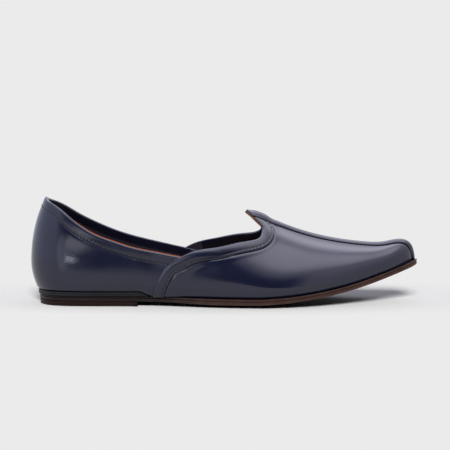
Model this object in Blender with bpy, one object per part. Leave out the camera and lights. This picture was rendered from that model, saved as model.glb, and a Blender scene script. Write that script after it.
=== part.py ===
"""Jutti: a leather slip-on shoe with a pointed toe, a peaked throat and a low heel.

Right shoe, standing on its sole. Metres, Z up. The toe points along +X, the
inner side of the foot is +Y, and the origin is on the floor under the middle of
the heel. Every leather piece is worked out from one surface: the last, given by
ribs that run from the back of the heel to the tip of the toe.
"""
import math

import bmesh
import bpy
import numpy as np

# Driving sizes
LENGTH = 0.300
BALL_WIDTH = 0.096
INSTEP_HEIGHT = 0.072
BACK_HEIGHT = 0.0825
OVERHANG = 0.0054
TOE_SWING = 0.005
TOE_SPRING = 0.0295
HEEL_LIFT = 0.0040
HEEL_BREAST_X = 0.0834
HEEL_CENTRE_X = 0.040
RAND_FADE_X = 0.084
RAND_END_X = 0.0955
WAIST_START_X = 0.090
INSOLE_RAMP_X = 0.125
TREAD_START_X = 0.146
TREAD_END_X = 0.176
TREAD_MARGIN = 0.003
TOE_BOX_X = 0.262

# Leather thicknesses and widths
WALL = 0.0020
LAP_STEP = 0.0012
LAP_FADE = 0.085
STRIP_WIDTH = 0.0087
STRIP_THICK = 0.0008
BAND_WIDTH = 0.0094
BAND_FLARE = 0.0030
BAND_THICK = 0.0019
BAND_SWELL = 0.0011
BAND_FLARE_START = 0.565
BAND_FLARE_END = 0.660
BAND_TIP_START = 0.560
BAND_TIP_END = 0.578
RAND_THICK = 0.0034
OUTSOLE_THICK = 0.0026
SOLE_THICK_BACK = 0.0039
SOLE_THICK_BALL = 0.0044
SOLE_THICK_TOE = 0.0042
EDGE_RISE = 0.0030
EDGE_OUT_HEEL = -0.0012
EDGE_OUT_BALL = 0.0022
EDGE_OUT_TOE = 0.0038
HEEL_TAPER = 0.0006
RAND_INSET = 0.0002
INSOLE_THICK = 0.0020
GAP = 0.0003
STRIP_GAP = 0.0004

# The ribs of the last. Shares of the sizes above:
# feather_x and top_x of LENGTH, outer and inner half width of BALL_WIDTH,
# swing of TOE_SWING, bulge of OVERHANG, top_z of INSTEP_HEIGHT;
# widest is the height of the widest line within the rib, round its exponent.
COLUMNS = ("feather_x", "outer", "inner", "swing", "bulge", "widest", "top_x", "top_z", "round")
RIBS = np.array([
    (0.0180, 0.000, 0.000, 0.00, 1.00, 0.260, 0.100, 1.333, 1.93),
    (0.0270, 0.128, 0.128, 0.00, 0.96, 0.250, 0.103, 1.333, 1.93),
    (0.0600, 0.243, 0.243, 0.00, 0.85, 0.220, 0.113, 1.333, 1.92),
    (0.1150, 0.294, 0.294, 0.00, 0.72, 0.180, 0.140, 1.340, 1.90),
    (0.2000, 0.304, 0.300, 0.00, 0.67, 0.160, 0.207, 1.361, 1.90),
    (0.2850, 0.312, 0.279, 0.00, 0.74, 0.150, 0.285, 1.375, 1.95),
    (0.3650, 0.342, 0.270, 0.02, 0.85, 0.150, 0.365, 1.347, 2.00),
    (0.4500, 0.400, 0.306, 0.08, 0.85, 0.160, 0.450, 1.222, 1.90),
    (0.5350, 0.457, 0.379, 0.18, 0.78, 0.180, 0.535, 1.042, 1.66),
    (0.6150, 0.475, 0.435, 0.30, 0.74, 0.155, 0.615, 0.887, 1.55),
    (0.7000, 0.444, 0.425, 0.46, 0.67, 0.165, 0.700, 0.753, 1.70),
    (0.7850, 0.362, 0.352, 0.62, 0.56, 0.220, 0.785, 0.668, 1.85),
    (0.8600, 0.269, 0.260, 0.78, 0.44, 0.300, 0.860, 0.627, 2.00),
    (0.9200, 0.179, 0.171, 0.88, 0.33, 0.320, 0.920, 0.630, 2.10),
    (0.9600, 0.108, 0.102, 0.96, 0.22, 0.340, 0.9620, 0.650, 2.10),
    (0.9805, 0.052, 0.049, 1.00, 0.11, 0.360, 0.9820, 0.583, 2.10),
    (0.9873, 0.000, 0.000, 1.00, 0.00, 0.400, 0.9873, 0.472, 2.10),
])
# Columns that leave the back centre line at a right angle, and the toe tip likewise.
LEVEL_AT_BACK = ("feather_x", "swing", "bulge", "widest", "top_x", "top_z", "round")
LEVEL_AT_TOE = ("feather_x",)

# Top edge of the quarters: place along the ribs, height over the floor as a
# share of BACK_HEIGHT on the outer side and on the inner side.
TOPLINE = np.array([
    (0.000, 1.000, 1.000),
    (0.045, 0.974, 0.974),
    (0.097, 0.908, 0.913),
    (0.142, 0.789, 0.818),
    (0.175, 0.706, 0.754),
    (0.235, 0.612, 0.655),
    (0.276, 0.562, 0.605),
    (0.331, 0.518, 0.553),
    (0.405, 0.469, 0.488),
])

# Rear edge of the vamp: height on the rib (0 feather, 1 widest line, 2 ridge) and
# place along the ribs. It climbs the side, runs along the throat, turns the
# corner and ends on the ridge at the tip of the peak.
VAMP_EDGE = np.array([
    (0.000, 0.3300),
    (0.500, 0.3340),
    (1.026, 0.3490),
    (1.101, 0.3700),
    (1.149, 0.3960),
    (1.223, 0.4330),
    (1.338, 0.4950),
    (1.450, 0.5430),
    (1.545, 0.5800),
    (1.605, 0.5935),
    (1.670, 0.5985),
    (1.740, 0.5970),
    (1.800, 0.5850),
    (1.870, 0.5725),
    (2.000, 0.5585),
])
LAP_TOP = 1.172
LOW_RIB_SHARE = 0.115
THROAT_DROP_OUTER = 0.025
THROAT_DROP_INNER = 0.011

# Mesh counts
QUARTER_COLUMNS = 22
QUARTER_ROWS = 9
VAMP_COLUMNS = 28
VAMP_ROWS = 14
SOLE_STATIONS = 40
HEEL_STATIONS = 22

OUTER = -1
INNER = 1


def smooth(start, end, x):
    """0 before start, 1 after end, t^2 (3 - 2t) between."""
    t = np.clip((np.asarray(x, float) - start) / (end - start), 0.0, 1.0)
    return t * t * (3.0 - 2.0 * t)


def spline(knots, values, level_start=False, level_end=False):
    """Cubic curve through the values with continuous curvature.

    An end is either level (slope 0) or free (curvature 0).
    """
    count = len(knots)
    width = np.diff(knots)
    rise = np.diff(values) / width
    matrix = np.eye(count)
    right = np.zeros(count)
    for i in range(1, count - 1):
        matrix[i, i - 1:i + 2] = (width[i - 1], 2.0 * (width[i - 1] + width[i]), width[i])
        right[i] = 6.0 * (rise[i] - rise[i - 1])
    if level_start:
        matrix[0, :2] = (2.0 * width[0], width[0])
        right[0] = 6.0 * rise[0]
    if level_end:
        matrix[-1, -2:] = (width[-1], 2.0 * width[-1])
        right[-1] = -6.0 * rise[-1]
    bend = np.linalg.solve(matrix, right)

    def curve(place):
        place = np.asarray(place, float)
        i = np.clip(np.searchsorted(knots, place, side="right") - 1, 0, count - 2)
        step = knots[i + 1] - knots[i]
        a = (knots[i + 1] - place) / step
        b = (place - knots[i]) / step
        cubic = (a ** 3 - a) * bend[i] + (b ** 3 - b) * bend[i + 1]
        return a * values[i] + b * values[i + 1] + cubic * step * step / 6.0

    return curve


def rib_places():
    """Where each rib stands along the shoe, 0 at the back and 1 at the toe tip."""
    half = (RIBS[:, 1] + RIBS[:, 2]) / 2.0 * BALL_WIDTH
    step = np.hypot(np.diff(RIBS[:, 0] * LENGTH), np.diff(half))
    places = np.concatenate([[0.0], np.cumsum(step)])
    return places / places[-1]


PLACES = rib_places()
SHARE = {
    name: spline(PLACES, RIBS[:, i], name in LEVEL_AT_BACK, name in LEVEL_AT_TOE)
    for i, name in enumerate(COLUMNS)
}
TOP_OUTER = spline(TOPLINE[:, 0], TOPLINE[:, 1], level_start=True)
TOP_INNER = spline(TOPLINE[:, 0], TOPLINE[:, 2], level_start=True)


def climb(v):
    """v with its part under the widest line shortened, so that it grows as the height does."""
    v = np.asarray(v, float)
    return np.where(v < 1.0, LOW_RIB_SHARE * (v - 1.0), v - 1.0)


EDGE_CURVE = spline(climb(VAMP_EDGE[:, 0]), VAMP_EDGE[:, 1])


def edge_place(v):
    """Place along the ribs of the vamp's rear edge."""
    return EDGE_CURVE(climb(v))


def outsole_bottom(x):
    """Underside of the outsole on the centre line, over the floor."""
    waist = HEEL_LIFT * (1.0 - smooth(WAIST_START_X, TREAD_START_X, x))
    reach = np.clip((np.asarray(x, float) - TREAD_END_X) / (LENGTH - TREAD_END_X), 0.0, None)
    return waist + TOE_SPRING * reach ** 1.6


def edge_rise(x, across):
    """How far the sole curls up towards its edge; across is 0 centre, 1 edge."""
    ball = smooth(WAIST_START_X, TREAD_START_X, x) * (1.0 - smooth(TREAD_END_X, TOE_BOX_X, x))
    return EDGE_RISE * ball * np.clip((np.abs(across) - 0.4) / 0.6, 0.0, 1.0) ** 2


def sole_thickness(x):
    """Outsole and midsole together."""
    ball = (SOLE_THICK_BALL - SOLE_THICK_BACK) * smooth(WAIST_START_X, TREAD_START_X, x)
    toe = (SOLE_THICK_BALL - SOLE_THICK_TOE) * smooth(TOE_BOX_X, LENGTH, x)
    return SOLE_THICK_BACK + ball - toe


def rand_thickness(x):
    """Wedge between the sole and the upper round the heel; it fades at the waist."""
    return RAND_THICK * (1.0 - smooth(RAND_FADE_X, RAND_END_X, x))


def seat(x, across=1.0):
    """Height of the feather, where the upper meets what it stands on."""
    return outsole_bottom(x) + edge_rise(x, across) + sole_thickness(x) + rand_thickness(x)


def plan(u, side):
    """Feather line seen from above."""
    half = SHARE["outer"](u) if side == OUTER else SHARE["inner"](u)
    y = SHARE["swing"](u) * TOE_SWING + side * half * BALL_WIDTH
    return np.stack([SHARE["feather_x"](u) * LENGTH, y], -1)


def plan_normal(u, side):
    """Unit vector out of the feather line, seen from above."""
    ahead = np.asarray(u, float) + 1e-4
    behind = np.asarray(u, float) - 1e-4
    ahead = np.where((ahead > 1.0)[..., None], plan(2.0 - ahead, -side), plan(ahead, side))
    behind = np.where((behind < 0.0)[..., None], plan(-behind, -side), plan(behind, side))
    along = ahead - behind
    out = np.stack([-along[..., 1], along[..., 0]], -1) * side
    return out / np.linalg.norm(out, axis=-1, keepdims=True)


def last(u, v, side, inset=0.0):
    """The last's surface, or the same surface moved inwards by the inset.

    u runs from the back (0) to the toe tip (1). v is 0 at the feather, 1 on the
    widest line and 2 on the ridge. Below the widest line the rib is a parabola,
    above it a superellipse: (c^(2/n), s^(2/n)) with c, s of a quarter turn.
    """
    u, v = np.broadcast_arrays(np.asarray(u, float), np.asarray(v, float))
    out = plan_normal(u, side)
    feather = plan(u, side)
    widest = feather + out * (SHARE["bulge"](u) * OVERHANG)[..., None]
    top = np.stack([SHARE["top_x"](u) * LENGTH, SHARE["swing"](u) * TOE_SWING], -1)
    low = seat(feather[..., 0])
    high = SHARE["top_z"](u) * INSTEP_HEIGHT
    middle = low + SHARE["widest"](u) * (high - low)
    power = 2.0 / SHARE["round"](u)
    open_part = 1.0 - smooth(0.42, 0.55, u)
    feather = feather - out * inset
    widest = widest - out * inset
    top = top - out * (inset * open_part)[..., None]
    high = high - inset * (1.0 - open_part)
    angle = np.clip(v - 1.0, 0.0, 1.0) * math.pi / 2.0
    c = np.cos(angle) ** power
    s = np.sin(angle) ** power
    down = np.clip(1.0 - v, 0.0, 1.0)
    low_xy = widest + (feather - widest) * (down ** 2)[..., None]
    high_xy = top + (widest - top) * c[..., None]
    below = v < 1.0
    xy = np.where(below[..., None], low_xy, high_xy)
    z = np.where(below, middle + (low - middle) * down, middle + (high - middle) * s)
    return np.concatenate([xy, z[..., None]], -1)


def fold(u, v, side):
    """The same surface, carried over the back centre line and over the ridge."""
    u, v = np.broadcast_arrays(np.asarray(u, float), np.asarray(v, float))
    cross = (u < 0.0) != (v > 2.0)
    u = np.minimum(np.abs(u), 1.0)
    v = np.where(v > 2.0, 4.0 - v, v)
    return np.where(cross[..., None], last(u, v, -side), last(u, v, side))


def normal(u, v, side):
    """Unit vector out of the last."""
    u, v = np.broadcast_arrays(np.asarray(u, float), np.asarray(v, float))
    u = np.clip(u, 0.0, 0.995)
    du, dv = 0.002, 0.01
    along = fold(u + du, v, side) - fold(u - du, v, side)
    up = fold(u, v + dv, side) - fold(u, np.maximum(v - dv, 0.0), side)
    out = np.cross(along, up) * -side
    return out / np.linalg.norm(out, axis=-1, keepdims=True)


def height_on_rib(u, z, side):
    """The v at which the rib stands z above the floor."""
    low = seat(plan(u, side)[..., 0])
    high = SHARE["top_z"](u) * INSTEP_HEIGHT
    middle = low + SHARE["widest"](u) * (high - low)
    share = np.clip((z - middle) / (high - middle), 0.0, 1.0)
    return 1.0 + np.arcsin(share ** (SHARE["round"](u) / 2.0)) * 2.0 / math.pi


def topline(u, side):
    """The v of the quarter's top edge."""
    share = TOP_OUTER(u) if side == OUTER else TOP_INNER(u)
    return height_on_rib(u, share * BACK_HEIGHT, side)


def beside(u, v, side, distance, turn):
    """Points on the surface at a distance from a curve on it, to one side of it."""
    start = fold(u, v, side)
    along = np.gradient(start, axis=0)
    along /= np.linalg.norm(along, axis=-1, keepdims=True)
    target = start + np.cross(normal(u, v, side), along) * turn * np.asarray(distance)[..., None]
    u, v = np.array(u, float), np.array(v, float)
    for _ in range(12):
        here = fold(u, v, side)
        along_u = (fold(u + 1e-4, v, side) - here) / 1e-4
        along_v = (fold(u, v + 1e-3, side) - here) / 1e-3
        miss = target - here
        uu, uv, vv = (np.sum(a * b, -1) for a, b in
                      ((along_u, along_u), (along_u, along_v), (along_v, along_v)))
        mu, mv = np.sum(miss * along_u, -1), np.sum(miss * along_v, -1)
        det = uu * vv - uv * uv + 1e-18
        u = np.clip(u + np.clip((mu * vv - mv * uv) / det, -0.03, 0.03), -0.5, 0.999)
        v = np.clip(v + np.clip((mv * uu - mu * uv) / det, -0.2, 0.2), 0.0, 3.9)
    return u, v


def vamp_edge(v, side):
    """Place of the vamp's rear edge; the throat is a little higher on the inner side."""
    shift = THROAT_DROP_OUTER if side == OUTER else THROAT_DROP_INNER
    return edge_place(v + shift * smooth(LAP_TOP, 1.32, v) * (1.0 - smooth(1.52, 1.72, v)))


def clear_scene():
    for item in list(bpy.data.objects):
        bpy.data.objects.remove(item, do_unlink=True)


def material(name, colour, roughness):
    made = bpy.data.materials.new(name)
    made.use_nodes = True
    shader = made.node_tree.nodes["Principled BSDF"]
    shader.inputs["Base Color"].default_value = (*colour, 1.0)
    shader.inputs["Roughness"].default_value = roughness
    made.diffuse_color = (*colour, 1.0)
    return made


def add_mesh(name, points, faces, look, collection):
    """One closed body from points and faces, with its normals facing out."""
    points = np.asarray(points) - (HEEL_CENTRE_X, 0.0, 0.0)
    mesh = bpy.data.meshes.new(name)
    mesh.from_pydata([tuple(p) for p in points.tolist()], [], faces)
    body = bmesh.new()
    body.from_mesh(mesh)
    bmesh.ops.remove_doubles(body, verts=body.verts[:], dist=1e-6)
    bmesh.ops.triangulate(body, faces=body.faces[:])
    bmesh.ops.recalc_face_normals(body, faces=body.faces[:])
    body.to_mesh(mesh)
    body.free()
    mesh.materials.append(look)
    made = bpy.data.objects.new(name, mesh)
    collection.objects.link(made)
    return made


def grid_faces(rows, columns, start=0, flip=False):
    """Quads over a grid of points stored row by row."""
    faces = []
    for r in range(rows - 1):
        for c in range(columns - 1):
            a = start + r * columns + c
            quad = (a, a + 1, a + columns + 1, a + columns)
            faces.append(quad[::-1] if flip else quad)
    return faces


def slab(upper_face, lower_face):
    """Points and faces of a body between two grids of the same shape."""
    rows, columns = upper_face.shape[:2]
    size = rows * columns
    points = np.concatenate([upper_face.reshape(-1, 3), lower_face.reshape(-1, 3)])
    faces = grid_faces(rows, columns) + grid_faces(rows, columns, size, True)
    border = [(0, c) for c in range(columns)]
    border += [(r, columns - 1) for r in range(1, rows)]
    border += [(rows - 1, c) for c in range(columns - 2, -1, -1)]
    border += [(r, 0) for r in range(rows - 2, -1, -1)]
    ring = [r * columns + c for r, c in border]
    for a, b in zip(ring[:-1], ring[1:]):
        faces.append((b, a, a + size, b + size))
    return points, faces


def lap_height(u, v, side):
    """Extra height of the vamp where it lies over the quarter."""
    ahead = 1.0 - smooth(0.0, LAP_FADE, u - vamp_edge(v, side))
    return LAP_STEP * ahead * (1.0 - smooth(LAP_TOP, LAP_TOP + 0.12, v))


class Points:
    """Vertices that are numbered as they are added."""

    def __init__(self):
        self.where = []

    def add(self, grid):
        first = len(self.where)
        self.where.extend(grid.reshape(-1, 3).tolist())
        return np.arange(first, len(self.where)).reshape(grid.shape[:-1])


def quads(faces, grid):
    """Two-dimensional array of vertex numbers to faces."""
    for low, high in zip(grid[:-1], grid[1:]):
        for a, b, c, d in zip(low[:-1], low[1:], high[1:], high[:-1]):
            faces.append((int(a), int(b), int(c), int(d)))


def upper_points(side):
    """Grids (quarter outside and inside, vamp outside and inside) of one side.

    Both grids have their rows on the same heights at the vamp's rear edge. The
    quarter's rows fan out to its top edge, the vamp's run on to the toe.
    """
    share = np.linspace(0.0, 1.0, QUARTER_ROWS)[:, None]
    across = 1.0 - (1.0 - np.linspace(0.0, 1.0, QUARTER_COLUMNS)[None, :]) ** 1.35
    u = across * edge_place(share * LAP_TOP)
    top = topline(across * edge_place(LAP_TOP), side)
    top = top + (LAP_TOP - top[:, -1:]) * smooth(0.7, 1.0, across)
    v = share * top
    quarter = last(u, v, side)
    quarter_in = last(u, v, side, WALL)

    heights = np.concatenate([share[:, 0] * LAP_TOP, np.linspace(LAP_TOP, 2.0, VAMP_ROWS)[1:]])
    v = heights[:, None]
    across = np.linspace(0.0, 1.0, VAMP_COLUMNS)[None, :]
    across = across - 0.08 * np.sin(2.0 * math.pi * across)
    edge = vamp_edge(v, side)
    u = edge + (1.0 - edge) * across
    vamp = last(u, v, side) + normal(u, v, side) * lap_height(u, v, side)[..., None]
    vamp[..., 2] = np.maximum(vamp[..., 2], seat(plan(u, side)[..., 0]))
    inside = edge + (0.950 - edge) * across
    vamp_in = last(inside, v, side, WALL)
    return quarter, quarter_in, vamp, vamp_in


def upper_body():
    """Upper: quarters and vamp as one hollow wall, open at the collar and below."""
    points = Points()
    faces = []
    noses = []
    for side in (OUTER, INNER):
        quarter, quarter_in, vamp, vamp_in = (points.add(g) for g in upper_points(side))
        for grid in (quarter, quarter_in, vamp, vamp_in):
            quads(faces, grid)
        last_row = QUARTER_ROWS - 1
        quads(faces, np.stack([quarter[:, -1], vamp[:QUARTER_ROWS, 0]]))
        quads(faces, np.stack([quarter[-1], quarter_in[-1]]))
        quads(faces, np.stack([vamp[last_row:, 0], vamp_in[last_row:, 0]]))
        quads(faces, np.stack([quarter[0], quarter_in[0]]))
        quads(faces, np.stack([vamp[0], vamp_in[0]]))
        for row in (0, last_row):
            faces.append((int(quarter[row, -1]), int(vamp[row, 0]), int(vamp_in[row, 0])))
        noses.append((vamp_in[:, -1], vamp[0, -1]))
    quads(faces, np.stack([noses[0][0], noses[1][0]]))
    faces.append((int(noses[0][0][0]), int(noses[1][0][0]), int(noses[0][1])))
    return points.where, faces


def off_the_sole(points, u, side):
    """The points, raised where they would come too near what the upper stands on."""
    lowest = seat(plan(np.clip(np.abs(u), 0.0, 1.0), side)[..., 0]) + 0.0002
    points[..., 2] = np.maximum(points[..., 2], lowest)
    return points


def strip_body(u, v, side, turn, on_vamp):
    """Leather strip laid on the surface beside a curve, with its own thickness.

    On the vamp it is cut off along the centre band, on the quarter at the vamp.
    """
    rows = [(u, v)]
    for share in (0.5, 1.0):
        rows.append(beside(u, v, side, np.full(len(u), STRIP_WIDTH * share), turn))
    if on_vamp:
        rows = [(a, np.minimum(b, ridge_distance(a, side, band_half(a) + 2.0 * GAP)))
                for a, b in rows]
        lift = [lap_height(a, b, side) for a, b in rows]
    else:
        rows = [(np.sign(a) * np.minimum(np.abs(a), edge_place(b) - 0.005), b) for a, b in rows]
        lift = [np.zeros(len(a)) for a, b in rows]
    faces = []
    for height in (STRIP_GAP + STRIP_THICK, STRIP_GAP):
        grid = []
        for (a, b), extra in zip(rows, lift):
            out = fold_normal(a, b, side) * (height + extra)[..., None]
            grid.append(off_the_sole(fold(a, b, side) + out, a, side))
        faces.append(np.stack(grid))
    return slab(*faces)


def fold_normal(u, v, side):
    """Normal of the surface carried over the back centre line."""
    flipped = np.asarray(u) < 0.0
    here = normal(np.abs(u), v, side)
    there = normal(np.abs(u), v, -side)
    return np.where(flipped[..., None], there, here)


def collar_strip():
    """Folded strip round the top edge of the quarters, from vamp to vamp."""
    end = edge_place(LAP_TOP) - 0.005
    u = np.linspace(-end, end, 53)
    outer = topline(np.abs(u), OUTER)
    inner = topline(np.abs(u), INNER)
    v = np.where(u < 0.0, inner, outer)
    return strip_body(u, v, OUTER, -1.0, on_vamp=False)


def throat_strip(side):
    """Folded strip along the vamp's rear edge and round the throat."""
    v = np.concatenate([np.linspace(0.03, 1.0, 5)[:-1], np.linspace(1.0, 1.80, 34)])
    return strip_body(vamp_edge(v, side), v, side, side, on_vamp=True)


def ridge_distance(u, side, distance):
    """The v at a distance from the ridge, measured down the rib."""
    heights = np.linspace(2.0, 0.0, 240)
    found = []
    for place, reach in zip(u, distance):
        rib = last(np.full(240, place), heights, side)
        length = np.concatenate([[0.0], np.cumsum(np.linalg.norm(np.diff(rib, axis=0), axis=1))])
        found.append(np.interp(reach, length, heights))
    return np.array(found)


def band_half(u):
    """Half the centre band's width; it flares out towards the peak."""
    return BAND_WIDTH / 2.0 + BAND_FLARE * (1.0 - smooth(BAND_FLARE_START, BAND_FLARE_END, u))


def band_crown(u):
    """Thickness along the band's middle: thin at the peak's tip, then a bulge, then level."""
    tip = 0.35 + 0.65 * smooth(BAND_TIP_START, BAND_TIP_END, u)
    bulge = smooth(BAND_TIP_START, 0.592, u) * (1.0 - smooth(0.598, 0.622, u))
    return BAND_THICK * tip + BAND_SWELL * bulge


def centre_band():
    """Raised band down the middle of the vamp, from the peak to the sole's tip."""
    u = np.linspace(0.0, 1.0, 40) ** 0.85
    u = edge_place(2.0) + (0.996 - edge_place(2.0)) * u
    half = band_half(u)
    low = []
    high = []
    for side, share in ((OUTER, 1.0), (OUTER, 0.5), (OUTER, 0.0), (INNER, 0.5), (INNER, 1.0)):
        v = ridge_distance(u, side, half * share)
        v = np.maximum(v, 0.06)
        base = last(u, v, side)
        out = normal(u, v, side)
        low.append(off_the_sole(base + out * GAP, u, side))
        thick = band_crown(u) * (1.0 - 0.5 * share ** 2)
        high.append(off_the_sole(base + out * (GAP + thick)[:, None], u, side))
    return slab(np.stack(high), np.stack(low))


def sole_grid(margin, z_of, final, across, stations, inset=0.0):
    """Grid over the sole's outline; z_of(x, across) gives each point's height."""
    u = np.linspace(0.0, 1.0, stations)
    u = final * (u - 0.08 * np.sin(2.0 * math.pi * u))
    if final > place_of(TREAD_END_X):
        u = np.sort(np.append(u, [place_of(TREAD_START_X + TREAD_MARGIN),
                                place_of(TREAD_END_X - TREAD_MARGIN)]))
    edges = []
    for side in (OUTER, INNER):
        edges.append(plan(u, side) + plan_normal(u, side) * (margin(u) - inset)[..., None])
    across = np.array(across)
    share = ((across + 1.0) / 2.0)[:, None, None]
    xy = edges[0][None] * (1.0 - share) + edges[1][None] * share
    z = z_of(xy[..., 0], across[:, None])
    return np.concatenate([xy, z[..., None]], -1)


def sole_margin(u):
    """How far the sole stands out of the feather: in at the heel, out at the toe."""
    ball = (EDGE_OUT_BALL - EDGE_OUT_HEEL) * smooth(0.30, 0.46, u)
    return EDGE_OUT_HEEL + ball + (EDGE_OUT_TOE - EDGE_OUT_BALL) * smooth(0.93, 1.0, u)


def place_of(x):
    """The u whose feather has this x."""
    u = np.linspace(0.0, 1.0, 2001)
    return float(np.interp(x, SHARE["feather_x"](u) * LENGTH, u))


FOREFOOT_ACROSS = (-1.0, -0.72, -0.4, 0.0, 0.4, 0.72, 1.0)
HEEL_ACROSS = (-1.0, 0.0, 1.0)


def sole_layer(bottom, top, margin):
    low = sole_grid(margin, bottom, 1.0, FOREFOOT_ACROSS, SOLE_STATIONS)
    high = sole_grid(margin, top, 1.0, FOREFOOT_ACROSS, SOLE_STATIONS)
    return slab(high, low)


def heel_layer(bottom, top, margin, front, taper=0.0):
    low = sole_grid(margin, bottom, place_of(front), HEEL_ACROSS, HEEL_STATIONS, taper)
    high = sole_grid(margin, top, place_of(front), HEEL_ACROSS, HEEL_STATIONS)
    return slab(high, low)


def outsole():
    def bottom(x, across):
        return outsole_bottom(x) + edge_rise(x, across)

    def top(x, across):
        return bottom(x, across) + OUTSOLE_THICK

    return sole_layer(bottom, top, sole_margin)


def midsole():
    def bottom(x, across):
        return outsole_bottom(x) + edge_rise(x, across) + OUTSOLE_THICK + GAP

    def top(x, across):
        return outsole_bottom(x) + edge_rise(x, across) + sole_thickness(x) - GAP

    return sole_layer(bottom, top, sole_margin)


def heel_rand():
    """Wedge round the heel, flush with the upper's feather."""
    def bottom(x, across):
        return outsole_bottom(x) + edge_rise(x, across) + sole_thickness(x)

    def top(x, across):
        return seat(x, across) - GAP

    def margin(u):
        return np.full(np.shape(u), -RAND_INSET)

    return heel_layer(bottom, top, margin, RAND_FADE_X + 0.65 * (RAND_END_X - RAND_FADE_X))


def heel_block():
    """Low heel with a flat tread; its wall leans in towards the floor."""
    def bottom(x, across):
        return np.zeros(np.broadcast(x, across).shape)

    def top(x, across):
        return np.full(np.broadcast(x, across).shape, HEEL_LIFT - GAP)

    return heel_layer(bottom, top, sole_margin, HEEL_BREAST_X, HEEL_TAPER)


def insole():
    """Sock the foot stands on; it bridges the end of the wedge in a gentle slope."""
    def bottom(x, across):
        sole = outsole_bottom(x) + edge_rise(x, across) + sole_thickness(x)
        return sole + RAND_THICK * (1.0 - smooth(RAND_FADE_X, INSOLE_RAMP_X, x)) + GAP

    def top(x, across):
        return bottom(x, across) + INSOLE_THICK

    def margin(u):
        return np.full(np.shape(u), -WALL - 2.0 * GAP)

    low = sole_grid(margin, bottom, 0.945, FOREFOOT_ACROSS, SOLE_STATIONS)
    high = sole_grid(margin, top, 0.945, FOREFOOT_ACROSS, SOLE_STATIONS)
    return slab(high, low)


def build():
    clear_scene()
    shoe = bpy.data.collections.new("jutti")
    bpy.context.scene.collection.children.link(shoe)
    navy = material("navy_leather", (0.045, 0.048, 0.085), 0.38)
    trim = material("navy_trim", (0.040, 0.043, 0.078), 0.42)
    black = material("black_leather", (0.018, 0.020, 0.020), 0.55)
    brown = material("brown_sole_leather", (0.070, 0.034, 0.024), 0.50)
    tan = material("tan_leather", (0.42, 0.22, 0.10), 0.60)
    pieces = (
        ("outsole", outsole(), brown),
        ("midsole", midsole(), brown),
        ("heel_block", heel_block(), brown),
        ("heel_rand", heel_rand(), black),
        ("insole", insole(), tan),
        ("upper", upper_body(), navy),
        ("collar_strip", collar_strip(), trim),
        ("throat_strip_outer", throat_strip(OUTER), trim),
        ("throat_strip_inner", throat_strip(INNER), trim),
        ("centre_band", centre_band(), navy),
    )
    for name, (points, faces), look in pieces:
        add_mesh(name, points, faces, look, shoe)


build()
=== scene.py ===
# %% [markdown]
# # A leather jutti, dressed over its own last
#
# A jutti is a slip-on shoe from the north of the Indian subcontinent. This one has a low
# heel, a long pointed toe that lifts off the floor, and a vamp that rises to a peak over the
# instep. It is navy calf, with folded strips round the openings, a raised band down the
# middle of the vamp, and brown sole edges.
#
# A shoemaker builds everything on a last, a solid foot shape. We do the same: one numpy
# function gives the last's surface, and each piece of leather is a grid of points on it,
# lifted by the leather's own thickness.

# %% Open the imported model
import math

import bmesh
import bpy
import numpy as np
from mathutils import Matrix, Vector


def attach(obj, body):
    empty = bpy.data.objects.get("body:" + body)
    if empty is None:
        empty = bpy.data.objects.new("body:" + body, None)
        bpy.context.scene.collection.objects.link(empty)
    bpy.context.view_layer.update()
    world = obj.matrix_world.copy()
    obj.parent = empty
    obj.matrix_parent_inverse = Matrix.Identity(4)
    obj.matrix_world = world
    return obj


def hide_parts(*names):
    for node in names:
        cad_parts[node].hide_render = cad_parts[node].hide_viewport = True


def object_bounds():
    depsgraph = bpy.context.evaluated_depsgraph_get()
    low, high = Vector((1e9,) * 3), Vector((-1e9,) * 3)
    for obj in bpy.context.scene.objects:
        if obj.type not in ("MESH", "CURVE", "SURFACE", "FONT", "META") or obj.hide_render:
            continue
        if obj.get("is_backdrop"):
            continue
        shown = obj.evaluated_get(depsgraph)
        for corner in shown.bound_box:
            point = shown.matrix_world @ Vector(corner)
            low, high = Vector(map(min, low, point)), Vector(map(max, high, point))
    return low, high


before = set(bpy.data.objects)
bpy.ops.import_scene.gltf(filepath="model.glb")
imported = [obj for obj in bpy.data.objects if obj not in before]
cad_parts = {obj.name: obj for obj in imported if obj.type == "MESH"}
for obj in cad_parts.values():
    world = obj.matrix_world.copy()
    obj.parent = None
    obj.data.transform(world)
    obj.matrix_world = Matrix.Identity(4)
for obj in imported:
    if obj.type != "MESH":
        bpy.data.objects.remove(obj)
cad_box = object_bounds()
nodes = sorted(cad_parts)
print("solids in the frame:", ", ".join(nodes))

# %% [markdown]
# ## Sizes
#
# Metres everywhere, +X towards the toe, +Y towards the inner side of the foot, +Z up. The
# last is measured from the back of the sole, so its points are moved back by HEEL_CENTRE_X
# at the end, to put the origin on the floor under the heel.

# %% Sizes of the last and of the sole under it
MM = 0.001
LENGTH = 0.300
BALL_WIDTH = 0.096
INSTEP_HEIGHT = 0.072
BACK_HEIGHT = 0.0825
OVERHANG = 0.0054
TOE_SWING = 0.005
TOE_SPRING = 0.0295
HEEL_LIFT = 0.0040
HEEL_BREAST_X = 0.0834
HEEL_CENTRE_X = 0.040
RAND_FADE_X = 0.084
RAND_END_X = 0.0955
WAIST_START_X = 0.090
INSOLE_RAMP_X = 0.125
TREAD_START_X = 0.146
TREAD_END_X = 0.176
TOE_BOX_X = 0.262
WALL = 0.0020
LAP_STEP = 0.0012
LAP_FADE = 0.085
BAND_WIDTH = 0.0094
BAND_FLARE = 0.0030
BAND_THICK = 0.0019
BAND_SWELL = 0.0011
BAND_FLARE_START = 0.565
BAND_FLARE_END = 0.660
BAND_TIP_START = 0.560
BAND_TIP_END = 0.578
RAND_THICK = 0.0034
OUTSOLE_THICK = 0.0026
SOLE_THICK_BACK = 0.0039
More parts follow.
